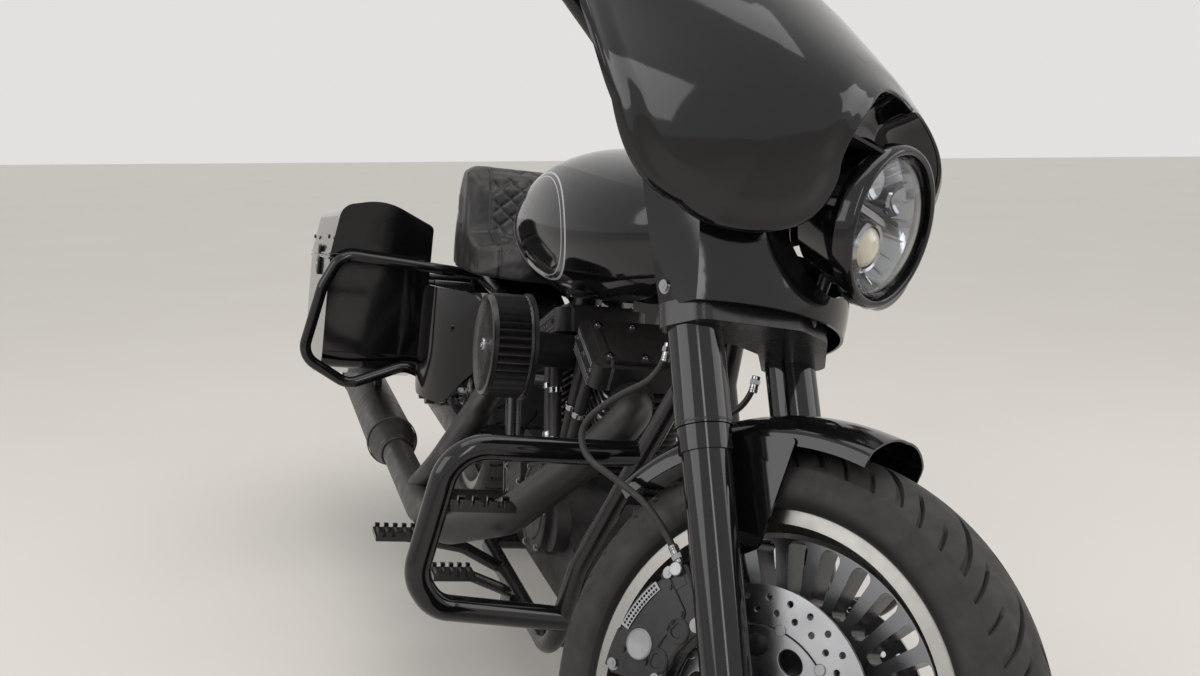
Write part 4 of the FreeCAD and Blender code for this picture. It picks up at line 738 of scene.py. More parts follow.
@dataclass(frozen=True)
class Studio:
    """The plain floor, the pale world, the soft lights and the camera at the photograph's place."""

    eye_mm: tuple[float, float, float] = (2870.2, -556.5, 1051.9)
    yaw_deg: float = 163.82
    pitch_deg: float = 11.27
    roll_deg: float = -0.25
    lens_mm: float = 37.31
    floor_reach: float = 20.0

    def level(self, vector: Floats) -> Vector:
        """Turns a vector that is measured upright in the room into the leaning machine's axes."""
        return Matrix.Rotation(LEAN, 3, "X") @ Vector(vector)

    def camera(self) -> None:
        """Places the camera."""
        yaw, pitch, roll = (math.radians(a) for a in (self.yaw_deg, self.pitch_deg, self.roll_deg))
        ahead = Vector((math.cos(yaw) * math.cos(pitch), math.sin(yaw) * math.cos(pitch), -math.sin(pitch)))
        right = ahead.cross(UP).normalized()
        above = right.cross(ahead)
        side = right * math.cos(roll) + above * math.sin(roll)
        top = above * math.cos(roll) - right * math.sin(roll)
        turn = MACHINE.upright.to_3x3() * 1000
        axes = [turn @ self.level(v) for v in (side, top, -ahead)]
        place = MACHINE.upright @ self.level(self.eye_mm)
        data = bpy.data.cameras.new("photo_camera")
        data.lens, data.sensor_width, data.clip_end = self.lens_mm, 36.0, 60.0
        camera = add_object("photo_camera", data)
        camera.matrix_world = Matrix([[a[i] for a in axes] + [place[i]] for i in range(3)] + [[0, 0, 0, 1]])
        bpy.context.scene.camera = camera

    def lights(self) -> None:
        """Hangs the soft boxes: one above, one on each side and a long one ahead."""
        for name, place, aim, size, power in (
                ("soft_box_top", (0.3, 0.0, 3.4), (0.1, 0.0, 0.5), (3.2, 2.0), 30.0),
                ("soft_box_right", (0.9, -3.2, 2.1), (0.2, 0.0, 0.6), (2.6, 1.6), 26.0),
                ("soft_box_left", (1.6, 3.0, 2.0), (0.3, 0.0, 0.6), (2.2, 1.6), 18.0),
                ("strip_ahead", (4.2, -0.8, 2.6), (0.8, 0.0, 0.6), (0.5, 2.6), 16.0)):
            data = bpy.data.lights.new(name, "AREA")
            data.shape, data.size, data.size_y, data.energy = "RECTANGLE", size[0], size[1], power
            lamp = add_object(name, data)
            lamp.location = place
            lamp.rotation_euler = (Vector(aim) - Vector(place)).to_track_quat("-Z", "Y").to_euler()

    def world(self) -> None:
        """Makes the world pale to the eye and in reflections, and dimmer as a light."""
        world = bpy.data.worlds.new("pale_room")
        bpy.context.scene.world = world
        world.use_nodes = True
        tree = world.node_tree
        tree.nodes.clear()
        rays = add_node(tree, "ShaderNodeLightPath").outputs
        seen = calc(tree, "MAXIMUM", rays["Is Camera Ray"], rays["Is Glossy Ray"])
        seen = calc(tree, "MAXIMUM", seen, rays["Is Transmission Ray"])
        level = add_node(tree, "ShaderNodeMapRange", {3: 0.74, 4: 0.84}, {0: seen})
        glow = add_node(tree, "ShaderNodeBackground", {"Color": linear("#f4f3f1")}, {"Strength": level.outputs[0]})
        add_node(tree, "ShaderNodeOutputWorld", links={"Surface": glow.outputs[0]})

    def floor(self) -> None:
        """Lays the plain pale floor, square to the camera's heading so that its far edge is level."""
        mesh = bpy.data.meshes.new("floor")
        ahead = -bpy.context.scene.camera.matrix_world.col[2]
        square = Matrix.Rotation(math.atan2(ahead.y, ahead.x), 3, "Z") * self.floor_reach
        mesh.from_pydata([square @ Vector(corner) for corner in ((-1, -1, 0), (1, -1, 0), (1, 1, 0), (-1, 1, 0))], [],
                         [(0, 1, 2, 3)])
        material, tree, place = Paint.start("painted_floor")
        tone = blend(tree, noise(tree, 1.4, 3.0, place), "#e2ddd6", "#e8e4de")
        Paint.end(tree, add_node(tree, "ShaderNodeBsdfPrincipled", {"Roughness": 0.55}, {"Base Color": tone}))
        mesh.materials.append(material)
        add_object("floor", mesh)

    def build(self) -> None:
        """Sets the camera, the world, the lights and the floor up."""
        bpy.context.scene.view_settings.view_transform = "Standard"
        self.camera()
        self.world()
        self.lights()
        self.floor()


# Hoses

@dataclass(frozen=True)
class BrakeHoses:
    """The rubber brake hoses, which loop back from the lower clamp and round to the calipers."""

    radius: float = 4.5
    length_m: float = 0.40
    caliper_radius: float = 190.3
    caliper_deg: float = 138.0

    def route(self, side: int) -> list[Vector]:
        """Lays a hose's route out.

        Args:
            side: 1 for the right one, -1 for the left.

        Returns:
            Its points in metres.
        """
        end = FRONT_AXLE + spoke(self.caliper_radius, math.radians(self.caliper_deg), -104)
        points = [(1352, -112, 692), (1358, -112, 650), (1302, -112, 606), (1262, -112, 556), (1284, -112, 518),
                  (1348, -112, 508), (1420, -110, 492), tuple(end)]
        return [MACHINE.steered @ Vector((x, y * side, z)) for x, y, z in points]

    def fittings(self, points: list[Vector], name: str) -> Thing:
        """Makes the crimped collars at both ends of a hose.

        Args:
            points: The hose's route.
            name: The piece's name.

        Returns:
            The fittings.
        """
        form = Form(name, "steering", True)
        back = MACHINE.steered.inverted()
        for first, second in ((0, 1), (-1, -2)):
            a, b = back @ points[first], back @ points[second]
            run = (b - a).normalized()
            for start, end, radius, sides, edge, finish in (
                    (0, 24, 6.0, 18, 0.8, CHROME), (5, 12, 7.4, 6, 0.6, CHROME), (17.0, 18.2, 6.5, 18, 0.3, ZINC),
                    (20.0, 21.2, 6.5, 18, 0.3, ZINC)):
                form.rod(a + run * start, a + run * end, radius, sides, edge, finish)
        return form.done()

    def build(self) -> None:
        """Makes both hoses as free cords."""
        for side, label in ((1, "right"), (-1, "left")):
            points = self.route(side)
            curve = bpy.data.curves.new(f"brake_hose_{label}", "CURVE")
            curve.dimensions, curve.resolution_u = "3D", 16
            curve.bevel_depth, curve.bevel_resolution, curve.use_fill_caps = self.radius / 1000, 5, True
            spline = curve.splines.new("NURBS")
            spline.points.add(len(points) - 1)
            for knot, point in zip(spline.points, points):
                knot.co = (*point, 1.0)
            spline.order_u, spline.use_endpoint_u = 3, True
            curve.materials.append(Paint.of(BLACK_RUBBER))
            hose = add_object(f"brake_hose_{label}", curve)
            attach(hose, "steering")
            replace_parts(hose, "brake_hoses")
            ends = self.fittings(points, f"hose_fittings_{label}")


# Wheels

@dataclass(frozen=True)
class Wheel:
    """A tyre with its tread, and the cast rim's machined faces."""

    name: str
    centre: Vector
    steered: bool
    tread_half: float
    shoulder_radius: float
    bead_radius: float
    slots: tuple[float, float]
    repeats: int = 18
    groove_depth: float = 6.0
    groove_width: float = 11.0
    groove_edge: float = 0.7
    slant: float = 100.0
    rows: int = 44
    side_rows: int = 32
    column_mm: float = 7.0

    def profile(self) -> np.ndarray:
        """Draws the tyre's right half from crown to bead.

        Returns:
            Its points as (distance from the middle, radius).
        """
        half, bead, foot = self.tread_half, self.tread_half - 16, self.bead_radius
        drop = TYRE_RADIUS - self.shoulder_radius
        crown = (half * half + drop * drop) / (2 * drop)
        across = np.linspace(0, half - 2, self.rows)
        tread = np.stack([across, TYRE_RADIUS - crown + np.sqrt(crown ** 2 - across ** 2)], axis=1)
        middle = (self.shoulder_radius + foot) / 2 + 4
        knots = np.array([tuple(tread[-1]), (half + 2.5, self.shoulder_radius - 9), (half + 4.6, middle + 6),
                          (half + 4.2, middle - 6), (half + 0.5, foot + 19), (bead + 5, foot + 11),
                          (bead + 2, foot + 4),
                          (bead, foot)])
        step = np.concatenate([[0], np.cumsum(np.linalg.norm(np.diff(knots, axis=0), axis=1))])
        fine = np.linspace(0, step[-1], self.side_rows)[1:]
        side = np.stack([np.interp(fine, step, knots[:, 0]), np.interp(fine, step, knots[:, 1])], axis=1)
        for _ in range(3):
            side[1:-1] = (side[:-2] + 2 * side[1:-1] + side[2:]) / 4
        for radius, height in ((foot + 14, 0.9), (foot + 17, 0.9), (middle + 14, 0.7)):
            side[:, 0] += height * np.exp(-((side[:, 1] - radius) / 1.1) ** 2)
        return np.vstack([tread, side])

    def columns(self, lines: Sequence[Floats], pitch: float) -> list[tuple[float, int]]:
        """Returns the places round one repeat of the tread.

        Args:
            lines: The grooves.
            pitch: The repeat's length.

        Returns:
            Each place with its groove's number, or -1 between grooves.
        """
        edges = []
        for kind, (phase, _side, _start, _end, reach) in enumerate(lines):
            for offset, inside in ((-reach - self.groove_edge, False), (-reach + self.groove_edge, True), (0.0, True),
                                   (reach - self.groove_edge, True), (reach + self.groove_edge, False)):
                edges.append((phase * pitch + offset, kind if inside else -1))
        edges.sort()
        filled = []
        for (a, kind), (b, _kind) in zip(edges, edges[1:] + [(edges[0][0] + pitch, -1)]):
            extra = int((b - a) // self.column_mm)
            filled += [(a, kind)] + [(a + (b - a) * (i + 1) / (extra + 1), -1) for i in range(extra)]
        return filled

    def tyre(self, body: str) -> None:
        """Builds the tyre with its long slanted grooves and short shoulder slits.

        Args:
            body: The wheel's body.
        """
        half, wide = self.profile(), self.tread_half
        across = np.concatenate([-half[::-1, 0], half[1:, 0]])
        radius = np.concatenate([half[::-1, 1], half[1:, 1]])
        away = np.abs(across)
        pitch = TURN * TYRE_RADIUS / self.repeats
        lines = [(phase + shift, side, start, end, share * self.groove_width / 2)
                 for phase, shift_left, start, end, share in (
                     (0.0, 0.5, 4.0, wide * 0.90, 1.0), (0.30, 0.5, wide * 0.42, wide - 3, 0.62),
                     (0.64, -0.5, wide * 0.60, wide - 3, 0.62))
                 for side, shift in ((-1, 0.0), (1, shift_left))]
        share = np.clip(away, 0, wide) / wide
        lean = self.slant * ((share + 0.05) ** 0.6 - 0.05 ** 0.6)
        places = self.columns(lines, pitch)
        rings = []
        for at, kind in [(offset + turn * pitch, kind) for turn in range(self.repeats) for offset, kind in places]:
            r = radius
            if kind >= 0:
                _phase, side, start, end, _reach = lines[kind]
                cut = np.clip(np.minimum(away - start, end - away) / 2.5, 0, 1) * self.groove_depth
                r = radius - np.where((np.sign(across) == side) & (radius > self.shoulder_radius - 1), cut, 0.0)
            angle = (at + lean) / TYRE_RADIUS
            rings.append(np.stack([self.centre.x + np.sin(angle) * r, self.centre.y + across,
                                   self.centre.z + np.cos(angle) * r], axis=1))
        form = Form(self.name + "_tyre_tread", body, self.steered)
        form.add(grid(np.array(rings), wrap_rows=True), TYRE_RUBBER)
        foot = self.bead_radius
        inner = np.array([(wide - 16, foot), (wide - 25, foot), (wide - 8, foot + 34),
                          (wide - 14, self.shoulder_radius - 8), (0, TYRE_RADIUS - 12)])
        form.turned(np.vstack([inner, (inner * (-1, 1))[::-1]]), self.centre, LEFT, 120, TYRE_RUBBER)
        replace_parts(form.done(34, 0.05), self.name + "_tyre")

    def rim_paint(self) -> None:
        """Paints the cast rim black and machines its faces bright, by their distance from the axle."""
        material, tree, place = Paint.start(self.name + "_cast_rim")
        axis = (MACHINE.matrix(self.steered).to_3x3() @ LEFT).normalized()
        normal = add_node(tree, "ShaderNodeNewGeometry").outputs["Normal"]
        radius = radius_from_axle(tree, place, self.name)
        facing = calc(tree, "ABSOLUTE", calc(tree, "DOT_PRODUCT", normal, tuple(axis), vector=True))
        outside = calc(tree, "GREATER_THAN", radius, (self.slots[1] + 2) / 1000)
        web = calc(tree, "GREATER_THAN", radius, (self.slots[0] - 9) / 1000)
        face = calc(tree, "MULTIPLY", calc(tree, "GREATER_THAN", facing, 0.6), web)
        black, cut = Paint.shader(tree, SATIN_BLACK, place), Paint.shader(tree, RIM_CUT, place)
        tree.links.new(blend(tree, outside, "#77787a", "#96938f"), cut.inputs["Base Color"])
        bump = add_node(tree, "ShaderNodeBump", {"Strength": 1.0, "Distance": 0.00001},
                        {"Height": noise(tree, 900.0, 2.0, radius, True)})
        tree.links.new(bump.outputs[0], cut.inputs["Normal"])
        Paint.parted(tree, calc(tree, "MAXIMUM", face, outside), black, cut)
        Paint.lay(self.name + "_rim", material)


@dataclass(frozen=True)
class Rotor:
    """A drilled brake rotor on a carrier with oval windows and floating buttons."""

    wheel: str
    y: float
    radius: float = 150.0
    band: float = 46.0
    thick: float = 4.6
    hole: float = 3.9
    hub_y: float = 62.0
    hole_count: int = 30
    window_count: int = 10
    bolt_count: int = 5

    def add_to(self, form: Form) -> None:
        """Adds the rotor to a form.

        Args:
            form: The wheel's brake form.
        """
        centre, inside = AXLES[self.wheel][0], self.radius - self.band
        place = side_plane(centre.x, centre.y + self.y, centre.z)
        cast = replace(MACHINED, name=f"machined_carrier_{self.wheel}", wheel=self.wheel)
        steel = replace(ROTOR_STEEL, name=f"ground_rotor_steel_{self.wheel}", wheel=self.wheel)
        holes = []
        for index, row in [(index, row) for index in range(self.hole_count) for row in (0, 1)]:
            turn = TURN * (index + row * 0.5) / self.hole_count
            r = inside + self.band * (0.36 + 0.34 * row)
            holes.append(ring(self.hole, 10, (r * math.cos(turn), r * math.sin(turn))))
        form.add(plate([ring(self.radius, 120), ring(inside, 96)] + holes, self.thick, 0.5, place), steel)
        windows = []
        for index in range(self.window_count):
            turn = TURN * index / self.window_count
            outward, across = Vector((math.cos(turn), math.sin(turn))), Vector((-math.sin(turn), math.cos(turn)))
            windows.append([tuple(outward * (inside - 24) + outward * 13 * math.sin(a) + across * 17 * math.cos(a))
                            for a in np.linspace(0, TURN, 20, endpoint=False)])
        form.add(plate([ring(inside - 1.5, 96), ring(26, 32)] + windows, self.thick + 1.6, 0.8, place), cast)
        for index in range(self.window_count):
            at = centre + spoke(inside, TURN * (index + 0.5) / self.window_count, self.y)
            form.rod(at - LEFT * 4.4, at + LEFT * 4.4, 7.0, 20, 0.8, ZINC)
        out = LEFT * (1 if self.y > 0 else -1)
        face = centre + LEFT * self.y + out * 3
        form.rod(centre + out * self.hub_y, face, 40.0, 48, 1.5, cast)
        for index in range(self.bolt_count):
            at = face + spoke(30, TURN * (index + 0.25) / self.bolt_count)
            form.rod(at, at + out * 5, 6.2, 20, 0.8, CHROME)
            form.rod(at + out * 4.4, at + out * 5.2, 3.1, 6, 0.0, SATIN_BLACK)


# Front end

@dataclass(frozen=True)
class Headlight:
    """The lamp's insides behind its clear cover: a faceted reflector, a crossbar and a projector below."""

    mouth: float = 90.0
    throat: float = 46.0
    depth: float = 50.0
    facets: int = 18
    eye: float = 27.0

    def build(self) -> None:
        """Builds the reflector, the projector, the crossbar and the bezel's ring."""
        form = Form("headlight_reflector", "steering", True)
        front, mouth, eye = LAMP - AHEAD * 9, self.mouth, self.eye
        form.turned([(0, mouth), (-6, mouth - 1), (-8, mouth - 8)], front, AHEAD, 96, SATIN_BLACK)
        form.turned([(-8, mouth - 8), (-16, mouth - 12), (-26, mouth - 20), (-37, mouth - 31),
                     (-self.depth, self.throat), (-self.depth - 3, 0)], front, AHEAD, self.facets, REFLECTOR)
        for index in range(self.facets):
            turn = TURN * index / self.facets
            rim = Vector((0, math.cos(turn), math.sin(turn)))
            form.rod(front + rim * (mouth - 11) - AHEAD * 13,
                     front + rim * (self.throat + 2) - AHEAD * (self.depth - 3),
                     1.3, 8, 0.0, REFLECTOR)
        centre = front + Vector((-22, 0, -30))
        form.turned([(-24, eye + 3), (6, eye + 6), (10, eye + 3), (8, eye)], centre, AHEAD, 48, CHROME)
        # The projector's face is opaque bright cream: a painted warm reflection and highlight, not clear glass
        form.turned([(2, eye), (9, eye * 0.86), (15, eye * 0.58), (18, eye * 0.25), (18.6, 0)], centre, AHEAD, 40,
                    PROJECTOR_PAINTED_REFLECTION)
        form.turned([(0, 0), (2, eye)], centre, AHEAD, 40, SATIN_BLACK)
        stand = Matrix(((0, 0, 1, front.x - 24), (1, 0, 0, 0), (0, 1, 0, front.z), (0, 0, 0, 1)))
        for low, high, half, top, thick, bevel, finish in (
                (4, 13, 76, 70, 14, 1.5, CHROME), (15, 20, 70, 62, 9, 1.0, SATIN_BLACK)):
            form.add(plate([[(-half, low), (half, low), (top, high), (-top, high)]], thick, bevel, stand), finish)
        for y in (-34, 34):
            form.turned([(-16, 19), (2, 22), (6, 20), (2, 16), (-6, 0)], front + Vector((-22, y, 42)), AHEAD, 32,
                        REFLECTOR)
        form.done(30)
        trim, r = Form("headlight_bezel_trim", "steering", True), LAMP_RADIUS
        trim.turned([(-20, r + 0.4), (-20, r + 2.2), (-4, r + 2.2), (2.5, r - 1.5), (3.5, r - 5), (1.0, r - 9),
                     (-6, r - 9.4)], LAMP, AHEAD, 128, GLOSS_BLACK)
        trim.done(50)


@dataclass(frozen=True)
class FairingSkin:
    """The fork-mounted fairing: one pressed skin with a rolled rim, a set-back flange and a raised bulge."""

    wall: float = 4.0
    flange: float = 13.0
    shoulder: float = 28.0
    step: float = 4.5
    lobe_y: float = 212.0
    valley_y: float = 325.0
    tip_y: float = 450.0
    roll: float = 5.0
    bowl_radius: float = 102.5
    bowl_depth: float = 66.0
    bowl_sag: float = 14.0
    heart: tuple[float, float] = (-190.0, 1125.0)
    sections: tuple[tuple[float, ...], ...] = (
        # height, nose x, lobe x, valley x, tip x
        (800, 1505, 1420, 1400, 1400), (880, 1518, 1440, 1402, 1394), (960, 1532, 1458, 1390, 1366),
        (1040, 1532, 1440, 1344, 1300), (1120, 1438, 1356, 1288, 1240), (1240, 1252, 1190, 1150, 1110),
        (1330, 1118, 1070, 1040, 1010))
    # The rim from the mouth's top round to the nose's top, as arcs through three knots each
    knots: tuple[tuple[float, float], ...] = (
        (0, 1066), (-98, 1044), (-120, 960), (-112, 900), (-136, 866), (-184, 841), (-264, 843), (-344, 862),
        (-396, 912),
        (-436, 975), (-434, 1040), (-372, 1112), (-262, 1166), (-150, 1206), (0, 1216))

    def rim(self, counts: Sequence[int]) -> np.ndarray:
        """Returns the rim's first arcs, each with its count of points.

        Args:
            counts: Points of each arc.

        Returns:
            The (y, z) points.
        """
        arcs = []
        for index, count in enumerate(counts):
            three = self.knots[2 * index:2 * index + 3]
            (ax, ay), (bx, by), (cx, cy) = three
            system = np.array([[2 * (bx - ax), 2 * (by - ay)], [2 * (cx - ax), 2 * (cy - ay)]], float)
            right = np.array([bx * bx - ax * ax + by * by - ay * ay, cx * cx - ax * ax + cy * cy - ay * ay], float)
            middle = np.linalg.solve(system, right)
            radius = math.hypot(ax - middle[0], ay - middle[1])
            turns = np.unwrap([math.atan2(y - middle[1], x - middle[0]) for x, y in three])
            sweep = np.linspace(turns[0], turns[2], count)[min(index, 1):]
            arcs.append(middle + radius * np.stack([np.cos(sweep), np.sin(sweep)], axis=1))
        return np.vstack(arcs)

    def smooth(self, heights: np.ndarray, column: int) -> np.ndarray:
        """Runs a natural cubic of the height through one column of the sections.

        Args:
            heights: Where it is wanted.
            column: The column's number.

        Returns:
            X at each height.
        """
        z, x = (np.array([section[i] for section in self.sections], float) for i in (0, column))
        gap = np.diff(z)
        count = len(z)
        system, right = np.eye(count), np.zeros(count)
        for i in range(1, count - 1):
            system[i, i - 1:i + 2] = gap[i - 1], 2 * (gap[i - 1] + gap[i]), gap[i]
            right[i] = 6 * ((x[i + 1] - x[i]) / gap[i] - (x[i] - x[i - 1]) / gap[i - 1])
        bend = np.linalg.solve(system, right)
        at = np.clip(np.searchsorted(z, heights) - 1, 0, count - 2)
        h, low, high = gap[at], z[at + 1] - heights, heights - z[at]
        return (bend[at] * low ** 3 + bend[at + 1] * high ** 3) / (6 * h) + (x[at] / h - bend[at] * h / 6) * low + (
            x[at + 1] / h - bend[at + 1] * h / 6) * high

    def skin(self, y: np.ndarray, z: np.ndarray) -> np.ndarray:
        """Finds the skin level by level.

        Args:
            y: Places across.
            z: Their heights.

        Returns:
            The skin's X at each place.
        """
        nose, lobe, valley, tip = (self.smooth(z, column) for column in (1, 2, 3, 4))
        side = np.abs(y)

        def through(*points: tuple[float, np.ndarray]) -> np.ndarray:
            """Runs a circle through three points of each level.

            Args:
                points: Each one's place across and its X.

            Returns:
                X at each place.
            """
            (y0, x0), (y1, x1), (y2, x2) = points
            a, b = 2 * (y1 - y0), 2 * (x1 - x0)
            c, d = 2 * (y2 - y0), 2 * (x2 - x0)
            e = y1 * y1 - y0 * y0 + x1 * x1 - x0 * x0
            f = y2 * y2 - y0 * y0 + x2 * x2 - x0 * x0
            det = a * d - b * c
            det = np.where(np.abs(det) < 1e-6, 1e-6, det)
            cy, cx = (e * d - b * f) / det, (a * f - e * c) / det
            r2 = (y0 - cy) ** 2 + (x0 - cx) ** 2
            return cx + np.where(x1 > cx, 1, -1) * np.sqrt(np.maximum(r2 - (side - cy) ** 2, 0))

        inner = through((-self.lobe_y, lobe), (0.0, nose), (self.lobe_y, lobe))
        outer = through((self.lobe_y, lobe), (self.valley_y, valley), (self.tip_y, tip))
        return np.where(side <= self.lobe_y, inner, outer)

    def build(self) -> None:
        """Builds the skin in rings drawn in from its rim on one side, and its mirror."""
        edge = self.rim((44, 26, 34, 38, 36, 52, 60))
        fine = np.vstack([edge[:-1] + (edge[1:] - edge[:-1]) * s for s in (0, 0.25, 0.5, 0.75)])
        top, mouth = self.knots[-1][1], self.knots[0][1]
        middle = np.stack([np.zeros(30), np.linspace(top, mouth, 32)[1:-1]], axis=1)
        heart = np.array(self.heart)
        spokes = np.vstack([edge, middle]) - heart
        reach = np.linalg.norm(spokes, axis=1)[None, :, None]
        inward = np.concatenate([np.arange(0, 60, 2.2), 60 + 7 * np.arange(8)])[:, None, None]
        rim = heart + spokes[None] * np.maximum(1 - inward / reach, 0.3)
        share = np.linspace(1, 0, 14)[1:, None, None]
        flat = np.concatenate([rim, heart + (rim[-1] - heart)[None] * share])
        spots = flat.reshape(-1, 2)
        away = np.concatenate([np.sqrt(((part[:, None] - fine[None]) ** 2).sum(axis=2)).min(axis=1)
                               for part in np.array_split(spots, 24)])
        rise = np.clip((away - self.flange) / self.shoulder, 0, 1)
        rise = rise * rise * (3 - 2 * rise)
        relief = -self.step * (1 - rise) - self.roll * np.clip(1 - away / self.roll, 0, 1) ** 2
        x = self.skin(spots[:, 0], spots[:, 1]) + relief
        front = np.stack([x, spots[:, 0], spots[:, 1]], axis=1).reshape(*flat.shape[:2], 3)
        back = front - np.array([self.wall, 0, 0])
        form = Form("fairing_skin", "steering", True)
        for turn in (np.ones(3), MIRROR):
            form.add(grid(front * turn, wrap_columns=True), GLOSS_BLACK)
            form.add(grid(back * turn, wrap_columns=True), SATIN_BLACK)
            form.add(grid(np.stack([front[0, :len(edge)], back[0, :len(edge)]]) * turn), GLOSS_BLACK)
        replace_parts(form.done(40, 0.03), "fairing_shell")

    def bowl(self) -> None:
        """Builds the gloss bowl between the fairing's mouth and the lamp's bucket."""
        mouth = self.rim((30, 18))
        turns = np.arctan2(mouth[:, 1] - LAMP.z, mouth[:, 0])
        near = np.stack([np.full(len(mouth), LAMP.x - self.bowl_depth), self.bowl_radius * np.cos(turns),
                         LAMP.z + self.bowl_radius * np.sin(turns)], 1)
        far = np.stack([self.skin(mouth[:, 0], mouth[:, 1]) - 11, mouth[:, 0], mouth[:, 1]], 1)
        share = np.linspace(0, 1, 9)[:, None, None]
        front = far * (1 - share) + near * share
        front[:, :, 0] -= self.bowl_sag * np.sin(share[:, :, 0] * math.pi)
        form = Form("lamp_bowl", "steering", True)
        form.both(grid(front), GLOSS_BLACK)
        form.both(grid(front - np.array([2.0, 0, 0])), BLACK_PLASTIC)
        form.done(50)


def fork_trim() -> None:
    """Builds the seam rings on both fork legs and the axle's ends."""
    form = Form("fork_trim", "steering", True)
    for side in (-1, 1):
        for height, radius in ((612, 35.1), (606, 32.2), (598, 31.4)):
            foot = FRONT_AXLE + LEG_AXIS * ((height - TYRE_RADIUS) / LEG_AXIS.z) + LEFT * (side * LEG_Y)
            form.rod(foot, foot + LEG_AXIS * 4.0, radius, 48, 1.2, SATIN_BLACK)
        axle = FRONT_AXLE + LEFT * (side * (LEG_Y + 28))
        form.rod(axle, axle + LEFT * (side * 9), 17.0, 6, 1.0, CHROME)
        form.rod(axle, axle + LEFT * (side * 3), 21.0, 32, 1.0, ZINC)
    form.done()


# Repeated pieces

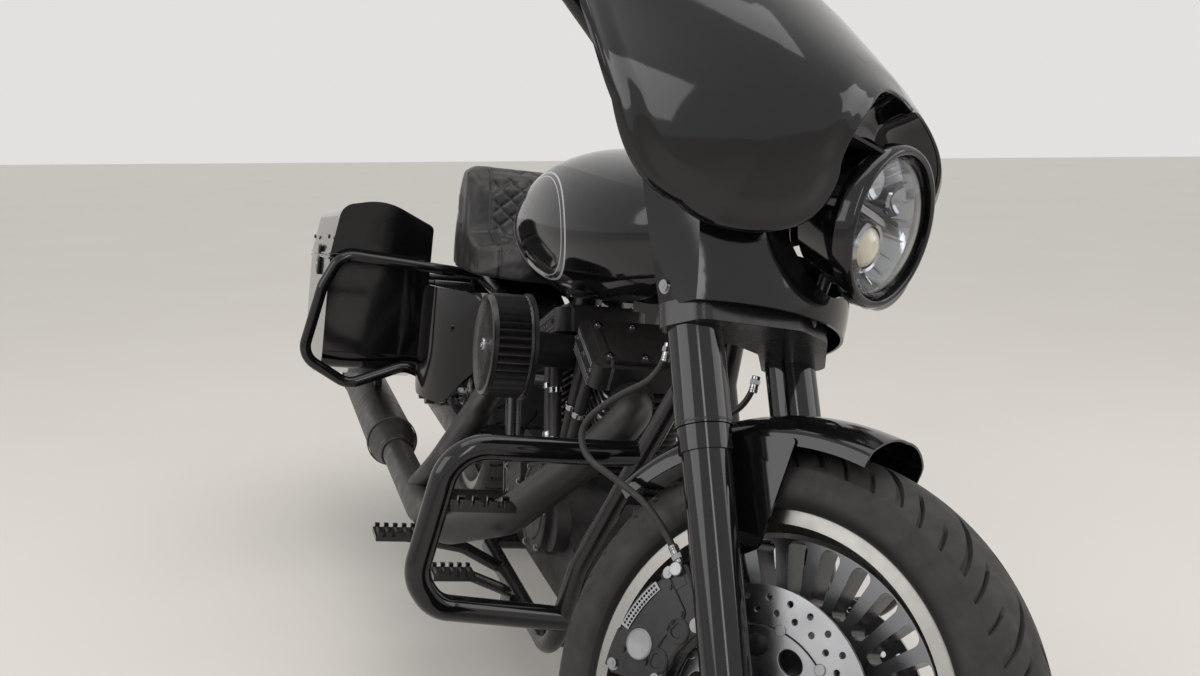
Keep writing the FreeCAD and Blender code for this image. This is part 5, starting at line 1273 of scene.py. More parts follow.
class Repeats:
    """Geometry Nodes trees for what repeats: screws on a plate, stitches along a seam."""

    @staticmethod
    def start(name: str, inputs: dict[str, str]) -> tuple[Tree, dict[str, Socket]]:
        """Starts a tree with named inputs.

        Args:
            name: The tree's name.
            inputs: Socket type by input name.

        Returns:
            The tree and its input sockets by name.
        """
        tree = bpy.data.node_groups.new(name, "GeometryNodeTree")
        for label, kind in {"Geometry": "NodeSocketGeometry", **inputs, "Finish": "NodeSocketMaterial"}.items():
            tree.interface.new_socket(label, in_out="INPUT", socket_type=kind)
        tree.interface.new_socket("Geometry", in_out="OUTPUT", socket_type="NodeSocketGeometry")
        entry = tree.nodes.new("NodeGroupInput")
        return tree, {socket.name: socket for socket in entry.outputs if socket.name}

    @staticmethod
    def end(tree: Tree, points: Socket, piece: Socket, way: Socket, finish: Socket) -> Tree:
        """Puts a piece on every point and ends the tree with real pieces in their finish.

        Args:
            tree: The tree.
            points: Where the pieces go.
            piece: What repeats, along its own Z.
            way: Where its Z points.
            finish: The pieces' material.

        Returns:
            The tree.
        """
        turn = add_node(tree, "FunctionNodeAlignRotationToVector", {"axis": "Z"}, {"Vector": way})
        placed = add_node(tree, "GeometryNodeInstanceOnPoints",
                          links={"Points": points, "Instance": piece, "Rotation": turn.outputs[0]})
        real = add_node(tree, "GeometryNodeRealizeInstances", links={0: placed.outputs[0]})
        smooth = add_node(tree, "GeometryNodeSetShadeSmooth", {"Shade Smooth": False}, {"Geometry": real.outputs[0]})
        painted = add_node(tree, "GeometryNodeSetMaterial", links={"Geometry": smooth.outputs[0], "Material": finish})
        add_node(tree, "NodeGroupOutput", links={0: painted.outputs[0]})
        return tree

    @staticmethod
    @cache
    def screws() -> Tree:
        """Puts a flanged screw head on every point, along its stored direction.

        Returns:
            The tree.
        """
        tree, given = Repeats.start(
            "screws", {"Radius": "NodeSocketFloat", "Height": "NodeSocketFloat", "Sides": "NodeSocketInt"})
        whole = add_node(tree, "GeometryNodeJoinGeometry")
        for wide, tall, sides in ((0.5, 2.25, False), (1.0, 2.0, True), (1.35, 0.5, True)):
            links = {"Radius": calc(tree, "MULTIPLY", given["Radius"], wide),
                     "Depth": calc(tree, "MULTIPLY", given["Height"], tall)}
            if sides:
                links["Vertices"] = given["Sides"]
            part = add_node(tree, "GeometryNodeMeshCylinder", {"Vertices": 6}, links)
            tree.links.new(part.outputs[0], whole.inputs[0])
        points = add_node(tree, "GeometryNodeMeshToPoints", {"Radius": 0.001}, {"Mesh": given["Geometry"]})
        way = add_node(tree, "GeometryNodeInputNamedAttribute", {"data_type": "FLOAT_VECTOR", "Name": "direction"})
        return Repeats.end(tree, points.outputs[0], whole.outputs[0], way.outputs[0], given["Finish"])

    @staticmethod
    @cache
    def along() -> Tree:
        """Lays small bars along lines, a spacing apart.

        Returns:
            The tree.
        """
        tree, given = Repeats.start("along_a_line", dict.fromkeys(("Spacing", "Length", "Radius"), "NodeSocketFloat"))
        line = add_node(tree, "GeometryNodeMeshToCurve", links={0: given["Geometry"]})
        points = add_node(tree, "GeometryNodeCurveToPoints", {"mode": "LENGTH"},
                          {"Curve": line.outputs[0], "Length": given["Spacing"]})
        piece = add_node(tree, "GeometryNodeMeshCylinder", {"Vertices": 6},
                         {"Radius": given["Radius"], "Depth": given["Length"]})
        return Repeats.end(tree, points.outputs[0], piece.outputs[0], points.outputs["Tangent"], given["Finish"])

    @staticmethod
    def bake(name: str, mesh: bpy.types.Mesh, tree: Tree, values: dict[str, float], finish: Finish, body: str) -> None:
        """Runs a tree on a mesh and keeps the result as a plain piece.

        Args:
            name: The piece's name.
            mesh: Points or lines in the frame.
            tree: The tree.
            values: The tree's inputs by name.
            finish: The finish.
            body: The body it rides on.
        """
        holder = add_object(name + "_points", mesh)
        modifier = holder.modifiers.new("repeat", "NODES")
        modifier.node_group = tree
        for item in tree.interface.items_tree:
            if item.in_out == "INPUT" and item.name in (*values, "Finish"):
                modifier[item.identifier] = values.get(item.name, Paint.of(finish))
        result = baked(holder)
        holder.modifiers.remove(modifier)
        bpy.data.objects.remove(holder)
        result.name = name
        piece = add_object(name, result)
        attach(piece, body)
        LOG.info("%s: %d faces", name, len(result.polygons))

    @staticmethod
    def screw_heads(name: str, places: Sequence[tuple[Floats, Floats]], radius: float, height: float, finish: Finish,
                    body: str, steered: bool = False, sides: int = 18) -> None:
        """Puts screw heads on machine places.

        Args:
            name: The piece's name.
            places: Points and outward directions, in machine millimetres.
            radius: A head's radius.
            height: How far it stands out.
            finish: Its finish.
            body: The body it rides on.
            steered: Whether the places turn with the steering.
            sides: A head's sides; 6 makes hexagon heads.
        """
        matrix = MACHINE.matrix(steered)
        mesh = bpy.data.meshes.new(name)
        mesh.from_pydata([matrix @ Vector(p) for p, _way in places], [], [])
        ways = mesh.attributes.new("direction", "FLOAT_VECTOR", "POINT")
        for item, (_p, way) in zip(ways.data, places):
            item.vector = (matrix.to_3x3() @ Vector(way)).normalized()
        values = {"Radius": radius / 1000, "Height": height / 1000, "Sides": sides}
        Repeats.bake(name, mesh, Repeats.screws(), values, finish, body)

    @staticmethod
    def bars_along(name: str, lines: Sequence[np.ndarray], spacing: float, length: float, radius: float,
                   finish: Finish, body: str) -> None:
        """Lays small bars along chassis lines.

        Args:
            name: The piece's name.
            lines: Each line's points.
            spacing: Between two bars.
            length: A bar's length.
            radius: A bar's radius.
            finish: Its finish.
            body: The body it rides on.
        """
        points, edges = [], []
        for line in lines:
            edges += [(len(points) + i, len(points) + i + 1) for i in range(len(line) - 1)]
            points += [MACHINE.upright @ Vector(p) for p in line]
        mesh = bpy.data.meshes.new(name)
        mesh.from_pydata(points, edges, [])
        values = {"Spacing": spacing / 1000, "Length": length / 1000, "Radius": radius / 1000}
        Repeats.bake(name, mesh, Repeats.along(), values, finish, body)


# Caliper

@dataclass(frozen=True)
class FrontCaliper:
    """A cast caliper over each front rotor: two halves, a ribbed bridge, a bare boss, a slotted strip and bolts."""

    # inner and outer radius, first and last turn in degrees, corners, thickness, bevel, y
    castings: tuple[tuple[float, ...], ...] = (
        (102, 185, 43, 99, 14, 30, 5, -101.5), (108, 183, 45, 97, 10, 7, 2, -66.6), (157, 189, 45, 56, 5, 52, 4, -91),
        (157, 189, 60, 78, 5, 52, 4, -91), (157, 189, 82, 97, 5, 52, 4, -91), (126, 181, 52, 90, 10, 5, 2, -116))

    def flat(self, radius: float, turn_deg: float) -> tuple[float, float]:
        """Returns a point of the wheel's plane at a radius and a turn back from straight up."""
        turn = math.radians(turn_deg)
        return -radius * math.sin(turn), radius * math.cos(turn)

    def at(self, radius: float, turn_deg: float, y: float) -> Vector:
        """Returns the same point on the machine."""
        x, z = self.flat(radius, turn_deg)
        return FRONT_AXLE + Vector((x, y, z))

    def bolts(self, name: str, spots: Sequence[Floats], y: float, radius: float, height: float, finish: Finish) -> None:
        """Puts bolts on both calipers.

        Args:
            name: The piece's name.
            spots: Each bolt's radius and turn.
            y: Where their heads sit.
            radius: A head's radius.
            height: A head's height.
            finish: Their finish.
        """
        places = [(self.at(r, t, y), -LEFT) for r, t in spots] + [(self.at(r, t, -y), LEFT) for r, t in spots]
        Repeats.screw_heads(name, places, radius, height, finish, "steering", True)

    def build(self) -> None:
        """Builds both calipers and their bolts."""
        form = Form("front_calipers_cast", "steering", True)
        for inner, outer, start, end, corner, thick, bevel, y in self.castings:
            edge = [self.flat(outer, start + (end - start) * i / 10) for i in range(11)]
            edge += [self.flat(inner, end - (end - start) * i / 4) for i in range(5)]
            form.both(plate([soft_loop(edge, corner)], thick, bevel, side_plane(FRONT_AXLE.x, y, FRONT_AXLE.z)),
                      SATIN_BLACK)
        form.both(lathe([(0, 19), (2.6, 18.4), (3.4, 17), (2.8, 15.6), (2.2, 0)], self.at(150, 82, -117), -LEFT, 40),
                  ZINC)
        strip = ([self.flat(184, 58 + 22 * i / 10) for i in range(11)]
                 + [self.flat(172, 80 - 22 * i / 10) for i in range(11)])
        holes = [ring(1.7, 8, self.flat(r, t)) for r in (175, 180.5) for t in np.linspace(59.5, 78.5, 14)]
        form.both(plate([strip] + holes, 1.6, 0.3, side_plane(FRONT_AXLE.x, -119.4, FRONT_AXLE.z)), ZINC)
        for turn in (62, 84):
            form.both(lathe([(0, 17), (3.5, 16), (4.5, 14), (4.5, 9), (3.0, 8), (3.0, 0)], self.at(120, turn, -114),
                            -LEFT, 36), SATIN_BLACK)
        inlet = self.at(180, 48, -104)
        form.both(bar(inlet, inlet + Vector((0, -20, 2)), 8.5, 24, 1.0), ZINC)
        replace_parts(form.done(20), "front_calipers")
        self.bolts("caliper_bolts", ((183, 52), (176, 95), (112, 50), (112, 93)), -115.5, 6.4, 5.0, CHROME)
        self.bolts("caliper_screws", ((168, 54), (133, 55), (133, 88), (168, 88)), -117.5, 3.6, 3.0, SATIN_BLACK)


# Seat

@dataclass(frozen=True)
class Seat:
    """The two-up seat: padded vinyl over foam, puffed by a cloth run, with quilted panels and seams pressed in."""

    voxel_m: float = 0.006
    pressure: float = 4.0
    frames: int = 20
    shrink_mm: float = 1.4
    most_mm: float = 6.0
    diamond_mm: float = 44.0
    channel_mm: float = 4.2
    channel_half: float = 3.0
    border_y: float = 152.0
    rider_diamond_mm: float = 36.0
    squash: float = 1.15
    weld_m: float = 0.00002
    smoothings: int = 7
    stitch_gap_mm: float = 14.0

    def base(self) -> Thing:
        """Makes the seat's solid one even closed mesh, a little smaller than the CAD's.

        Returns:
            The seat.
        """
        source = frame["nodes"]["seat"].data.copy()
        shell = bmesh.new()
        shell.from_mesh(source)
        bmesh.ops.remove_doubles(shell, verts=shell.verts, dist=self.weld_m)
        shell.to_mesh(source)
        shell.free()
        holder = add_object("seat_foam", source)
        remesh = holder.modifiers.new("voxels", "REMESH")
        remesh.mode, remesh.voxel_size = "VOXEL", self.voxel_m
        even = baked(holder)
        bpy.data.objects.remove(holder)
        even.materials.clear()
        form = bmesh.new()
        form.from_mesh(even)
        for _ in range(self.smoothings):
            bmesh.ops.smooth_vert(form, verts=form.verts, factor=0.5, use_axis_x=True, use_axis_y=True, use_axis_z=True)
        form.normal_update()
        for vertex in form.verts:
            vertex.co -= vertex.normal * (self.shrink_mm / 1000)
        form.to_mesh(even)
        form.free()
        return add_object("padded_seat", even)

    @staticmethod
    def read(mesh: bpy.types.Mesh, name: str) -> np.ndarray:
        """Reads a vector of every point of a mesh.

        Args:
            mesh: The mesh.
            name: The vector's name.

        Returns:
            The vectors as rows.
        """
        values = np.empty(len(mesh.vertices) * 3)
        mesh.vertices.foreach_get(name, values)
        return values.reshape(-1, 3)

    def puff(self, seat: Thing) -> None:
        """Puffs the cover with air pressure and caps how far any point moves.

        Args:
            seat: The seat.
        """
        rest = self.read(seat.data, "co")
        under = self.read(seat.data, "normal") @ np.array(MACHINE.up) < -0.3
        held = seat.vertex_groups.new(name="held")
        held.add(np.nonzero(under)[0].tolist(), 1.0, "REPLACE")
        cloth = seat.modifiers.new("cover", "CLOTH")
        cloth.settings.use_pressure = True
        cloth.settings.uniform_pressure_force = self.pressure
        cloth.settings.vertex_group_mass = "held"
        cloth.settings.effector_weights.gravity = 0.0
        cloth.settings.quality = 4
        cloth.point_cache.frame_start, cloth.point_cache.frame_end = 1, self.frames
        for step in range(1, self.frames + 1):
            bpy.context.scene.frame_set(step)
        move = self.read(seat.evaluated_get(bpy.context.evaluated_depsgraph_get()).data, "co") - rest
        far = np.linalg.norm(move, axis=1, keepdims=True)
        move *= np.minimum(1.0, self.most_mm / 1000 / np.maximum(far, 1e-9))
        seat.modifiers.remove(cloth)
        seat.data.vertices.foreach_set("co", (rest + move).ravel())
        bpy.context.scene.frame_set(1)

    def panel(self, inside: np.ndarray, y: np.ndarray, along: np.ndarray, size: float, half: float,
              ends: tuple[float, float], stretch: float = 1.0) -> np.ndarray:
        """Returns how deep a diamond-quilted panel's channels press in.

        Args:
            inside: Which points the panel may hold.
            y: The points' places across.
            along: Their places along the panel.
            size: A diamond's size.
            half: The panel's half width.
            ends: Where it starts and ends along.
            stretch: How much shorter the diamonds are along.

        Returns:
            Depths from 0 to 1.
        """
        off = [(y + way * along * stretch) / size for way in (1, -1)]
        near = np.minimum(*(np.abs(part - np.round(part)) for part in off)) * size / 1.414
        fade = [np.clip(room / 8, 0, 1) for room in (half - np.abs(y), along - ends[0], ends[1] - along)]
        return np.where(inside, np.exp(-(near / self.channel_half) ** 2) * (fade[0] * fade[1] * fade[2]), 0.0)

    def seams(self, machine: np.ndarray, normal: np.ndarray) -> np.ndarray:
        """Returns how deep the quilting and the seams press in at each point.

        Args:
            machine: Points in machine millimetres.
            normal: Their normals in machine axes.

        Returns:
            Depths in millimetres.
        """
        x, y, z = machine.T
        face = (normal[:, 0] > 0.25) & (x > 240) & (x < 345) & (z > 728)
        rider = (normal[:, 2] > 0.35) & (x >= 330) & (x < 480)
        pillion = (normal[:, 2] > 0.35) & (x < 285) & (z > 800)
        crown = ((normal[:, 2] > 0.2) | (normal[:, 0] > 0.25)) & (x < 470)
        border = np.where(crown, 0.9 * np.exp(-((np.abs(y) - self.border_y) / 2.4) ** 2), 0.0)
        return self.channel_mm * np.maximum.reduce([
            self.panel(face, y, z, self.diamond_mm, 150, (748, 868), self.squash),
            self.panel(rider, y, x, self.rider_diamond_mm, 140, (345, 470)),
            self.panel(pillion, y, x, self.diamond_mm, 120, (-40, 270)), border])

    def build(self) -> None:
        """Builds, puffs and seams the seat, and lays its stitches."""
        seat = self.base()
        self.puff(seat)
        smooth = seat.modifiers.new("finer", "SUBSURF")
        smooth.levels = smooth.render_levels = 1
        mesh = baked(seat)
        seat.modifiers.remove(smooth)
        seat.data = mesh
        back = np.array(MACHINE.upright.inverted())
        world, normals = self.read(mesh, "co"), self.read(mesh, "normal")
        depth = self.seams(world @ back[:3, :3].T + back[:3, 3], normals @ (back[:3, :3] / 1000).T)
        mesh.vertices.foreach_set("co", (world - normals * depth[:, None] / 1000).ravel())
        mesh.polygons.foreach_set("use_smooth", [True] * len(mesh.polygons))
        mesh.materials.append(Paint.of(SEAT_VINYL))
        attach(seat, "chassis")
        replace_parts(seat, "seat")
        LOG.info("padded_seat: %d faces", len(mesh.polygons))
        self.stitches(seat)

    def stitches(self, seat: Thing) -> None:
        """Lays waxed thread along the border seams and the step's diamonds, on the finished surface.

        Args:
            seat: The finished seat.
        """
        to_frame, to_machine = MACHINE.upright, MACHINE.upright.inverted()
        bpy.context.view_layer.update()

        def drop(start: Floats, way: Floats) -> Vector | None:
            """Sends a ray onto the seat.

            Args:
                start: Where it starts, in machine millimetres.
                way: Its direction.

            Returns:
                Where it meets the seat, just proud of it, or nothing.
            """
            aim = (to_frame.to_3x3() @ Vector(way)).normalized()
            hit, place, _normal, _face = seat.ray_cast(to_frame @ Vector(start), aim)
            return to_machine @ (place - aim * 0.0004) if hit else None

        lines: list[list[Vector]] = []
        for y in [side * (self.border_y + offset) for side in (-1, 1) for offset in (-4.0, 4.0)]:
            run: list[Vector] = []
            for spot in [drop((x, y, 980), (0, 0, -1)) for x in np.arange(-50, 460, 6.0)]:
                if spot is None or (run and (spot - run[-1]).length > self.stitch_gap_mm):
                    lines.append(run)
                    run = []
                if spot is not None:
                    run.append(spot)
            lines.append(run)
        size = self.diamond_mm
        for family, index in [(family, index) for family in (1, -1) for index in range(-12, 40)]:
            across = np.arange(-148, 149, 5.0)
            rise = index * size - across if family == 1 else across - index * size + 22 * size
            spots = [drop((420, y, z), (-1, 0, 0)) for y, z in zip(across, rise / self.squash) if 752 < z < 866]
            lines.append([spot for spot in spots if spot is not None and spot.x > 240])
        kept = [np.array([tuple(p) for p in run]) for run in lines if len(run) > 2]
        Repeats.bars_along("seat_stitches", kept, 5.2, 3.4, 0.55, SEAT_THREAD, "chassis")


# Tank, engine, bags and the rest

@dataclass(frozen=True)
class Tank:
    """The fuel tank's lacquer with its twin pinstripe ovals, and the filler cap's ring."""

    middle: tuple[float, float] = (798.0, 812.0)
    half: tuple[float, float] = (162.0, 90.0)
    lines: tuple[tuple[float, float], ...] = ((0.0, 1.3), (-7.0, 0.7))

    def stripe(self) -> None:
        """Paints two fine silver ovals on each side of the tank."""
        material, tree, place = Paint.start("striped_lacquer")
        wide, high = (calc(tree, "DIVIDE", distance_along(tree, place, axis, middle), half) for axis, middle, half in
                      zip((MACHINE.forward, MACHINE.up), self.middle, self.half))
        both = add_node(tree, "ShaderNodeCombineXYZ", links={0: wide, 1: high}).outputs[0]
        share = calc(tree, "SUBTRACT", calc(tree, "LENGTH", both, vector=True), 1.0)
        away = calc(tree, "MULTIPLY", share, self.half[1])
        masks = [calc(tree, "LESS_THAN", calc(tree, "ABSOLUTE", calc(tree, "SUBTRACT", away, level)), half)
                 for level, half in self.lines]
        silver = add_node(tree, "ShaderNodeBsdfPrincipled", {"Base Color": linear("#a6a7aa"), "Roughness": 0.3})
        Paint.parted(tree, calc(tree, "MAXIMUM", *masks), Paint.shader(tree, GLOSS_BLACK, place), silver)
        Paint.lay("fuel_tank", material)

    def build(self) -> None:
        """Paints the tank and adds the cap's bezel, its lock and its screws."""
        self.stripe()
        form, top = Form("tank_cap_trim", "chassis"), Vector((868, 0, 966))
        form.turned([(-6, 37), (-6, 41), (-1, 41), (1.5, 39), (1.5, 34), (0.4, 33), (0.4, 0)], top, UP, 64, GLOSS_BLACK)
        form.turned([(0, 13), (2.4, 12.4), (2.8, 11), (2.8, 0)], top, UP, 40, CHROME)
        form.done()
        places = [(top + Vector((25 * math.cos(t), 25 * math.sin(t), 0.4)), UP) for t in round_about(6)]
        Repeats.screw_heads("cap_screws", places, 2.8, 1.6, ZINC, "chassis")


@dataclass(frozen=True)
class Engine:
    """What shows on the engine: bare fin edges, pushrod collars, ribs, cover rings, bolts and the filter's face."""

    crank: tuple[float, float] = (820.0, 311.0)
    tilt_deg: float = 22.5
    fin_y: float = 75.8
    rib_heights: tuple[float, ...] = (310, 316, 322, 345, 350)

    def on_cylinder(self, side: int, x: float, y: float, height: float) -> Vector:
        """Returns a point of a cylinder: across, sideways and up its own axis."""
        tilt = math.radians(self.tilt_deg) * side
        return Vector((self.crank[0] + x * math.cos(tilt) + height * math.sin(tilt), y,
                       self.crank[1] - x * math.sin(tilt) + height * math.cos(tilt)))

    def fins(self) -> None:
        """Paints the cylinders black with bare machined fin edges."""
        material, tree, place = Paint.start("finned_cylinders")
        side = calc(tree, "ABSOLUTE", distance_along(tree, place, MACHINE.left, 0.0))
        near = calc(tree, "ABSOLUTE", calc(tree, "SUBTRACT", side, self.fin_y))
        Paint.parted(tree, calc(tree, "LESS_THAN", near, 2.6), Paint.shader(tree, ENGINE_BLACK, place),
                     Paint.shader(tree, FIN_CUT, place))
        Paint.lay("engine_cylinders", material)

    def cylinders(self, form: Form) -> list[tuple[Vector, Vector]]:
        """Adds the pushrods' collars and the rocker boxes' ribs.

        Args:
            form: The engine's trim.

        Returns:
            The rocker boxes' bolts.
        """
        places = []
        for side in (-1, 1):
            for low, high in ((26, 96), (62, 148)):
                foot = Vector((820 + side * low, -93, 420))
                run = (Vector((820 + side * high, -93, 623.3)) - foot).normalized()
                form.turned([(0, 16), (7, 16), (9, 14), (16, 14), (18, 12.2)], foot, run, 28, CHROME)
                form.turned([(96, 12.4), (97, 13.6), (106, 13.6), (107, 12.4)], foot, run, 28, CHROME)
            up = self.on_cylinder(side, 0, 0, 1) - self.on_cylinder(side, 0, 0, 0)
            places += [(self.on_cylinder(side, x, y, 364), up) for x in (-46, 46) for y in (-78, -18, 42)]
            places += [(self.on_cylinder(side, x, -106, 334), -LEFT) for x in (-48, 0, 48)]
            for height in self.rib_heights:
                form.rod(self.on_cylinder(side, -52, -106.4, height), self.on_cylinder(side, 52, -106.4, height), 1.6,
                         10,
                         0.6, ZINC)
        return places

    def build(self) -> None:
        """Builds the trim and lays the bolts."""
        self.fins()
        form = Form("engine_trim", "chassis")
        places = self.cylinders(form)
        cover, gear, derby = Vector((830, -127, 321)), Vector((600, -115, 312)), Vector((632, 212, 311))
        form.turned([(0, 84.4), (1.5, 84.4), (3, 82), (3, 74), (1, 72), (1, 58), (3.2, 56), (3.2, 0)], cover, -LEFT, 96,
                    ENGINE_BLACK)
        form.turned([(0, 66.3), (1.6, 66), (3.4, 62), (3.4, 40), (1.2, 38), (1.2, 0)], derby, LEFT, 96, GLOSS_BLACK)
        for centre, radius, y, count, start, way in (
                (cover, 78, -3, 6, 0.2, -LEFT), (gear, 52, 0, 6, 0.0, -LEFT), (derby, 52, 3.4, 5, 0.3, LEFT)):
            places += [(centre + spoke(radius, t, y), way) for t in round_about(count, start)]
        rim = soft_loop([(906, 225), (906, 397), (548, 387), (548, 235)], 74)[::7]
        places += [(Vector((x, 204, z)), LEFT) for x, z in rim]
        form.done()
        Repeats.screw_heads("engine_bolts", places, 4.6, 4.2, CHROME, "chassis")
        air, face = Form("air_filter_trim", "chassis"), Vector((838, -248, 605))
        air.turned([(0, 85.3), (2.4, 85.3), (4.0, 83.0), (4.0, 76.0), (3.0, 74.5), (2.6, 40), (2.4, 0)], face, -LEFT,
                   96,
                   SATIN_BLACK)
        air.turned([(0, 11), (2.0, 10.6), (3.2, 9.6), (3.2, 5.6), (0.8, 5.2), (0.8, 0)], face - LEFT * 2.4, -LEFT, 32,
                   CHROME)
        air.turned([(0, 86.5), (3, 88.4), (6, 88.4), (9, 86.5)], face + LEFT * 60, LEFT, 96, SATIN_BLACK)
        air.done()
        clamps = Form("exhaust_clamps", "chassis")
        for x, r in ((322, 33.5), (312, 34.5), (228, 53.0), (-414, 52.6)):
            for side in (-1, 1):
                clamps.turned([(-7, r - 1), (-6, r + 1.4), (6, r + 1.4), (7, r - 1)], (x, 300 * side, 268), AHEAD, 64,
                              CERAMIC_BLACK)
        clamps.done()


@dataclass(frozen=True)
class Saddlebags:
    """Lid beads, hinges, latches and a lock on both saddlebags."""

    front: tuple[float, float] = (150.0, 652.0)
    back: tuple[float, float] = (-395.0, 592.0)
    inner: float = 240.0
    outer: float = 458.0
    latch_x: float = -110.0

    def seam(self, x: float, y: float, rise: float = 0.0) -> Vector:
        """Returns a point over the slanted seam."""
        slope = (self.front[1] - self.back[1]) / (self.front[0] - self.back[0])
        return Vector((x, y, self.back[1] + (x - self.back[0]) * slope + rise))

    def build(self) -> None:
        """Builds the trim of both bags; the cases' on the chassis and the lids' on the lids."""
        for side, label in ((-1, "right"), (1, "left")):
            case, lid = Form(f"bag_case_trim_{label}", "chassis"), Form(f"bag_lid_trim_{label}", f"lid_{label}")
            latch = self.seam(self.latch_x, side * (self.outer + 2))
            ahead, behind, out = self.front[0] + 1, self.back[0] - 1, self.outer + 1
            for form, rise, radius, gap, outline, corner, lift in (
                    (case, -5.0, 2.6, 4.0, (24, -46, -4), 6, 1.5), (lid, 4.6, 2.2, 14.0, (20, 3, 24), 5, 1.0)):
                start = self.inner + gap
                corners = ((ahead, start), (ahead, out), (behind, out), (behind, start))
                path = rounded([(x, y * side, 0.0) for x, y in corners], 7.0, 15)
                form.add(tube(np.array([tuple(self.seam(x, y, rise)) for x, y, _z in path]), radius, 10), GLOSS_BLACK)
                half, low, high = outline
                form.add(plate([soft_loop([(-half, low), (half, low), (half, high), (-half, high)], corner)], 8, 2,
                               side_plane(latch.x, latch.y + side * lift, latch.z)), SATIN_BLACK)
            case.turned([(0, 8.5), (2.2, 8.0), (2.8, 6.8), (2.2, 5.8), (1.0, 0)],
                        (latch.x, latch.y + side * 5.5, latch.z - 26), LEFT * side, 28, CHROME)
            run = (self.seam(10, 0) - self.seam(0, 0)).normalized()
            for x in (60.0, -300.0):
                spot = self.seam(x, side * (self.inner - 3.5), -4.2)
                case.rod(spot - run * 22, spot + run * 22, 3.4, 14, 0.5, SATIN_BLACK)
            case.done()
            lid.done()
            studs = [(self.seam(x, side * (self.outer + 0.2), 42), LEFT * side) for x in (-330.0, 90.0)]
            Repeats.screw_heads(f"bag_lid_studs_{label}", studs, 4.2, 2.4, SATIN_BLACK, f"lid_{label}")


@dataclass(frozen=True)
class RearEnd:
    """The rear rotor and pulley, the lamps' rings and lenses, and the pegs' rubber pads."""

    rotor_y: float = -116.0
    pulley_y: float = 118.0
    pulley_radius: float = 138.0
    belt_width: float = 28.0
    lamp_turn: float = math.radians(62)

    def wheel(self) -> None:
        """Builds what turns with the rear wheel."""
        form = Form("rear_rotor_and_pulley", "rear_wheel")
        Rotor("rear", self.rotor_y, 146.0, 44.0, hub_y=84.0).add_to(form)
        windows = []
        for index in range(7):
            turns = np.linspace(TURN * (index + 0.16) / 7, TURN * (index + 0.84) / 7, 10)
            windows.append([(r * math.cos(t), r * math.sin(t)) for r, way in ((114, 1), (58, -1))
                            for t in turns[::way]])
        r, wide = self.pulley_radius, self.belt_width
        form.add(plate([ring(r - 4, 140), ring(16, 32)] + windows, 16, 2,
                       side_plane(REAR_AXLE.x, self.pulley_y + wide / 2, REAR_AXLE.z)), SATIN_BLACK)
        form.add(lathe([(0, r - 0.5), (wide, r - 0.5), (wide, r - 8), (0, r - 8)], REAR_AXLE + LEFT * self.pulley_y,
                       LEFT, 140, True), ZINC)
        form.turned([(0, 40), (wide + 30, 40), (wide + 33, 36), (wide + 33, 0)], REAR_AXLE + LEFT * 85, LEFT, 64,
                    replace(MACHINED, name="machined_hub_rear", wheel="rear"))
        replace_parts(form.done(20), "rear_pulley_disc")
        places = [(REAR_AXLE + spoke(28, t, 151), LEFT) for t in round_about(5)]
        Repeats.screw_heads("pulley_bolts", places, 6.0, 5.0, CHROME, "rear_wheel", sides=6)

    def build(self) -> None:
        """Builds the pieces behind and below."""
        self.wheel()
        lamps = Form("tail_lamp_rings", "chassis")
        out = Vector((-math.sin(self.lamp_turn), 0, math.cos(self.lamp_turn)))
        foot, seat = REAR_AXLE + out * 347, REAR_AXLE + out * 369
        for side in (-1, 1):
            lamp = seat + LEFT * (128 * side) - AHEAD * 14
            lamps.turned([(0.0, 24.6), (42, 24.6), (45, 20), (45, 0)], lamp + AHEAD, AHEAD, 48, GLOSS_BLACK)
            lamps.turned([(-1.0, 21.5), (-1.0, 25.5), (4, 25.5), (4, 24.4)], lamp, AHEAD, 48, CHROME)
            lamps.turned([(-0.6, 22), (-3.4, 19), (-5.0, 10), (-5.4, 0)], lamp, AHEAD, 48, RED_LENS)
        hull = [(foot.x + x, foot.z + z) for x, z in ((-63, -15), (-22, -21), (-6, 46), (-41, 53))]
        lamps.add(plate([soft_loop(hull, 12)], 98, 3, side_plane(0, 0, 0)), RED_LENS)
        lamps.done()
        pads = Form("peg_pads", "chassis")
        for side in (-1, 1):
            for x, y_out, y_in, z, half in ((750, 392, 312, 241.0, 19), (1000, 330, 262, 263.0, 13)):
                for row in range(5):
                    y = side * (y_out + (y_in - y_out) * (row + 0.45) / 5)
                    pads.rod((x - half, y, z), (x + half, y, z), 3.2, 10, 0.8, BLACK_RUBBER)
        pads.done()


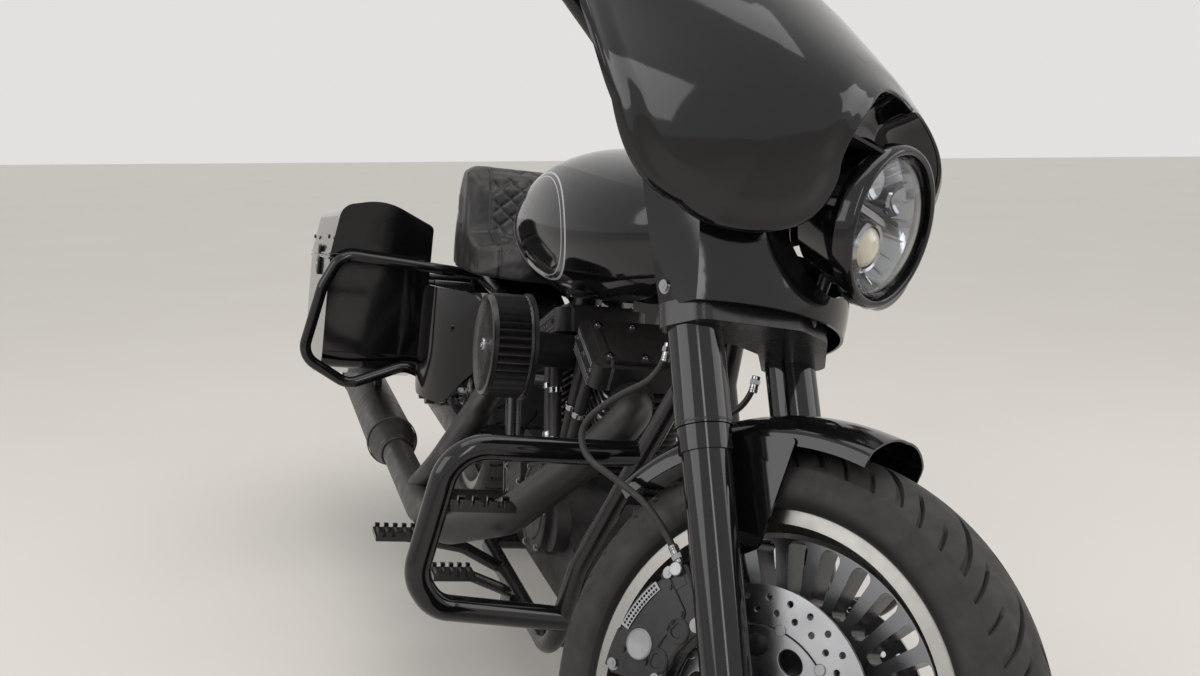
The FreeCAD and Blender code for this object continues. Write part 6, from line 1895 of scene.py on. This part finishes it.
@dataclass(frozen=True)
class Cockpit:
    """Six gauges and a radio plate on the dash, ribbed grips, and the nacelle's screws."""

    face_x: float = 1240.0

    def gauge(self, form: Form, y: float, z: float, radius: float) -> None:
        """Adds one gauge: a bezel, a dark dial with marks, and a hand.

        Args:
            form: The dash's form.
            y: Its place across.
            z: Its height.
            radius: Its dial's radius.
        """
        centre, hand = Vector((self.face_x, y, z)), Vector((0, 0.72, -0.69))
        form.turned([(0, radius + 3), (5, radius + 3), (7, radius), (5, radius - 3), (2, radius - 4)], centre, -AHEAD,
                    56,
                    CHROME)
        form.turned([(1.2, radius - 2), (1.4, 0)], centre, -AHEAD, 56, BLACK_PLASTIC)
        for index in range(11):
            turn, mark = math.radians(225 - 27 * index), centre - AHEAD * 1.8
            way = Vector((0, -math.cos(turn), math.sin(turn)))
            form.rod(mark + way * (radius - 11), mark + way * (radius - 6), 0.7, 6, 0.0, ZINC)
        foot = centre - AHEAD * 2.6
        form.rod(foot, foot + hand * (radius - 13), 0.9, 6, 0.0, RED_LENS)
        form.rod(centre - AHEAD, centre - AHEAD * 4.2, 3.6, 16, 0.6, SATIN_BLACK)

    def build(self) -> None:
        """Builds the dash's pieces, the grip ribs and the screws."""
        form = Form("gauges", "steering", True)
        for y, z, radius in ((66, 1080, 40), (150, 1066, 24), (212, 1062, 24)):
            for side in (-1, 1):
                self.gauge(form, y * side, z, radius)
        radio = Matrix(((0, 0, -1, self.face_x - 2), (1, 0, 0, 0), (0, 1, 0, 1020), (0, 0, 0, 1)))
        form.add(plate([soft_loop([(-92, -20), (92, -20), (92, 18), (-92, 18)], 5)], 5, 1, radio), GLOSS_BLACK)
        buttons = [(y, 1020, 12, 8, 24, 1) for y in (-78, 78)] + [(y, 1008, 7, 4, 16, 0.8) for y in range(-50, 51, 20)]
        for y, z, depth, radius, sides, edge in buttons:
            form.rod((self.face_x - 4, y, z), (self.face_x - depth, y, z), radius, sides, edge, BLACK_PLASTIC)
        form.done()
        grips = Form("grip_ribs", "steering", True)
        near = Vector((1056, -418, 1040))
        run = (Vector((920, -456, 1026)) - near).normalized()
        for index in range(15):
            grips.both(lathe([(0, 16.6), (0.8, 17.8), (2.8, 17.8), (3.6, 16.6)], near + run * (50 + index * 6.4), run,
                             28),
                       BLACK_RUBBER)
        grips.done()
        places = [(Vector((1352, side * 161.0, 756)), (-0.2, side * 0.95, -0.2)) for side in (-1, 1)]
        Repeats.screw_heads("nacelle_bolts", places, 7.5, 4.5, CHROME, "steering", True)


# Dressing of the CAD pieces

CAD_FINISHES: dict[Finish, str] = {
    SATIN_BLACK: "frame_tubes swingarm rear_caliper rear_shocks triple_clamps front_calipers handlebar side_stand "
                 "rear_lamps oil_cooler foot_controls",
    GLOSS_BLACK: "fork_covers fork_sliders bag_guards engine_guard headlight rear_fender side_covers bag_case_right "
                 "bag_case_left bag_lid_right bag_lid_left front_fender fork_nacelle",
    ENGINE_BLACK: "crankcase primary_cover", CERAMIC_BLACK: "exhaust_pipes mufflers", SMOKED_ACRYLIC: "windshield",
    CLEAR_LENS: "headlight_lens", BLACK_PLASTIC: "fairing_dash air_filter", SEAT_VINYL: "seat",
    BLACK_RUBBER: "drive_belt hand_controls brake_hoses", TYRE_RUBBER: "front_tyre rear_tyre",
    ZINC: "front_discs rear_pulley_disc",
}


def main() -> None:
    """Builds the scene piece by piece."""
    logging.basicConfig(level=logging.INFO, format="%(message)s")
    for thing in [bpy.data.objects.get(name) for name in ("Cube", "Light", "Camera")]:
        if thing:
            bpy.data.objects.remove(thing)
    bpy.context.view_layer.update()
    Studio().build()
    BrakeHoses().build()
    for finish, names in CAD_FINISHES.items():
        for name in names.split():
            Paint.lay(name, Paint.of(finish))
    for wheel in (Wheel("front", FRONT_AXLE, True, 66.0, 288.0, 229.0, (136.0, 205.0)),
                  Wheel("rear", REAR_AXLE, False, 88.0, 282.0, 205.0, (112.0, 180.0))):
        wheel.tyre(wheel.name + "_wheel")
        wheel.rim_paint()
    discs = Form("front_rotors", "front_wheel", True)
    for y in (-78.0, 78.0):
        Rotor("front", y).add_to(discs)
    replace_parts(discs.done(20), "front_discs")
    Headlight().build()
    FairingSkin().build()
    fork_trim()
    FairingSkin().bowl()
    for part in (FrontCaliper(), Seat(), Tank(), Engine(), Saddlebags(), RearEnd(), Cockpit()):
        part.build()


if __name__ == "__main__":
    main()
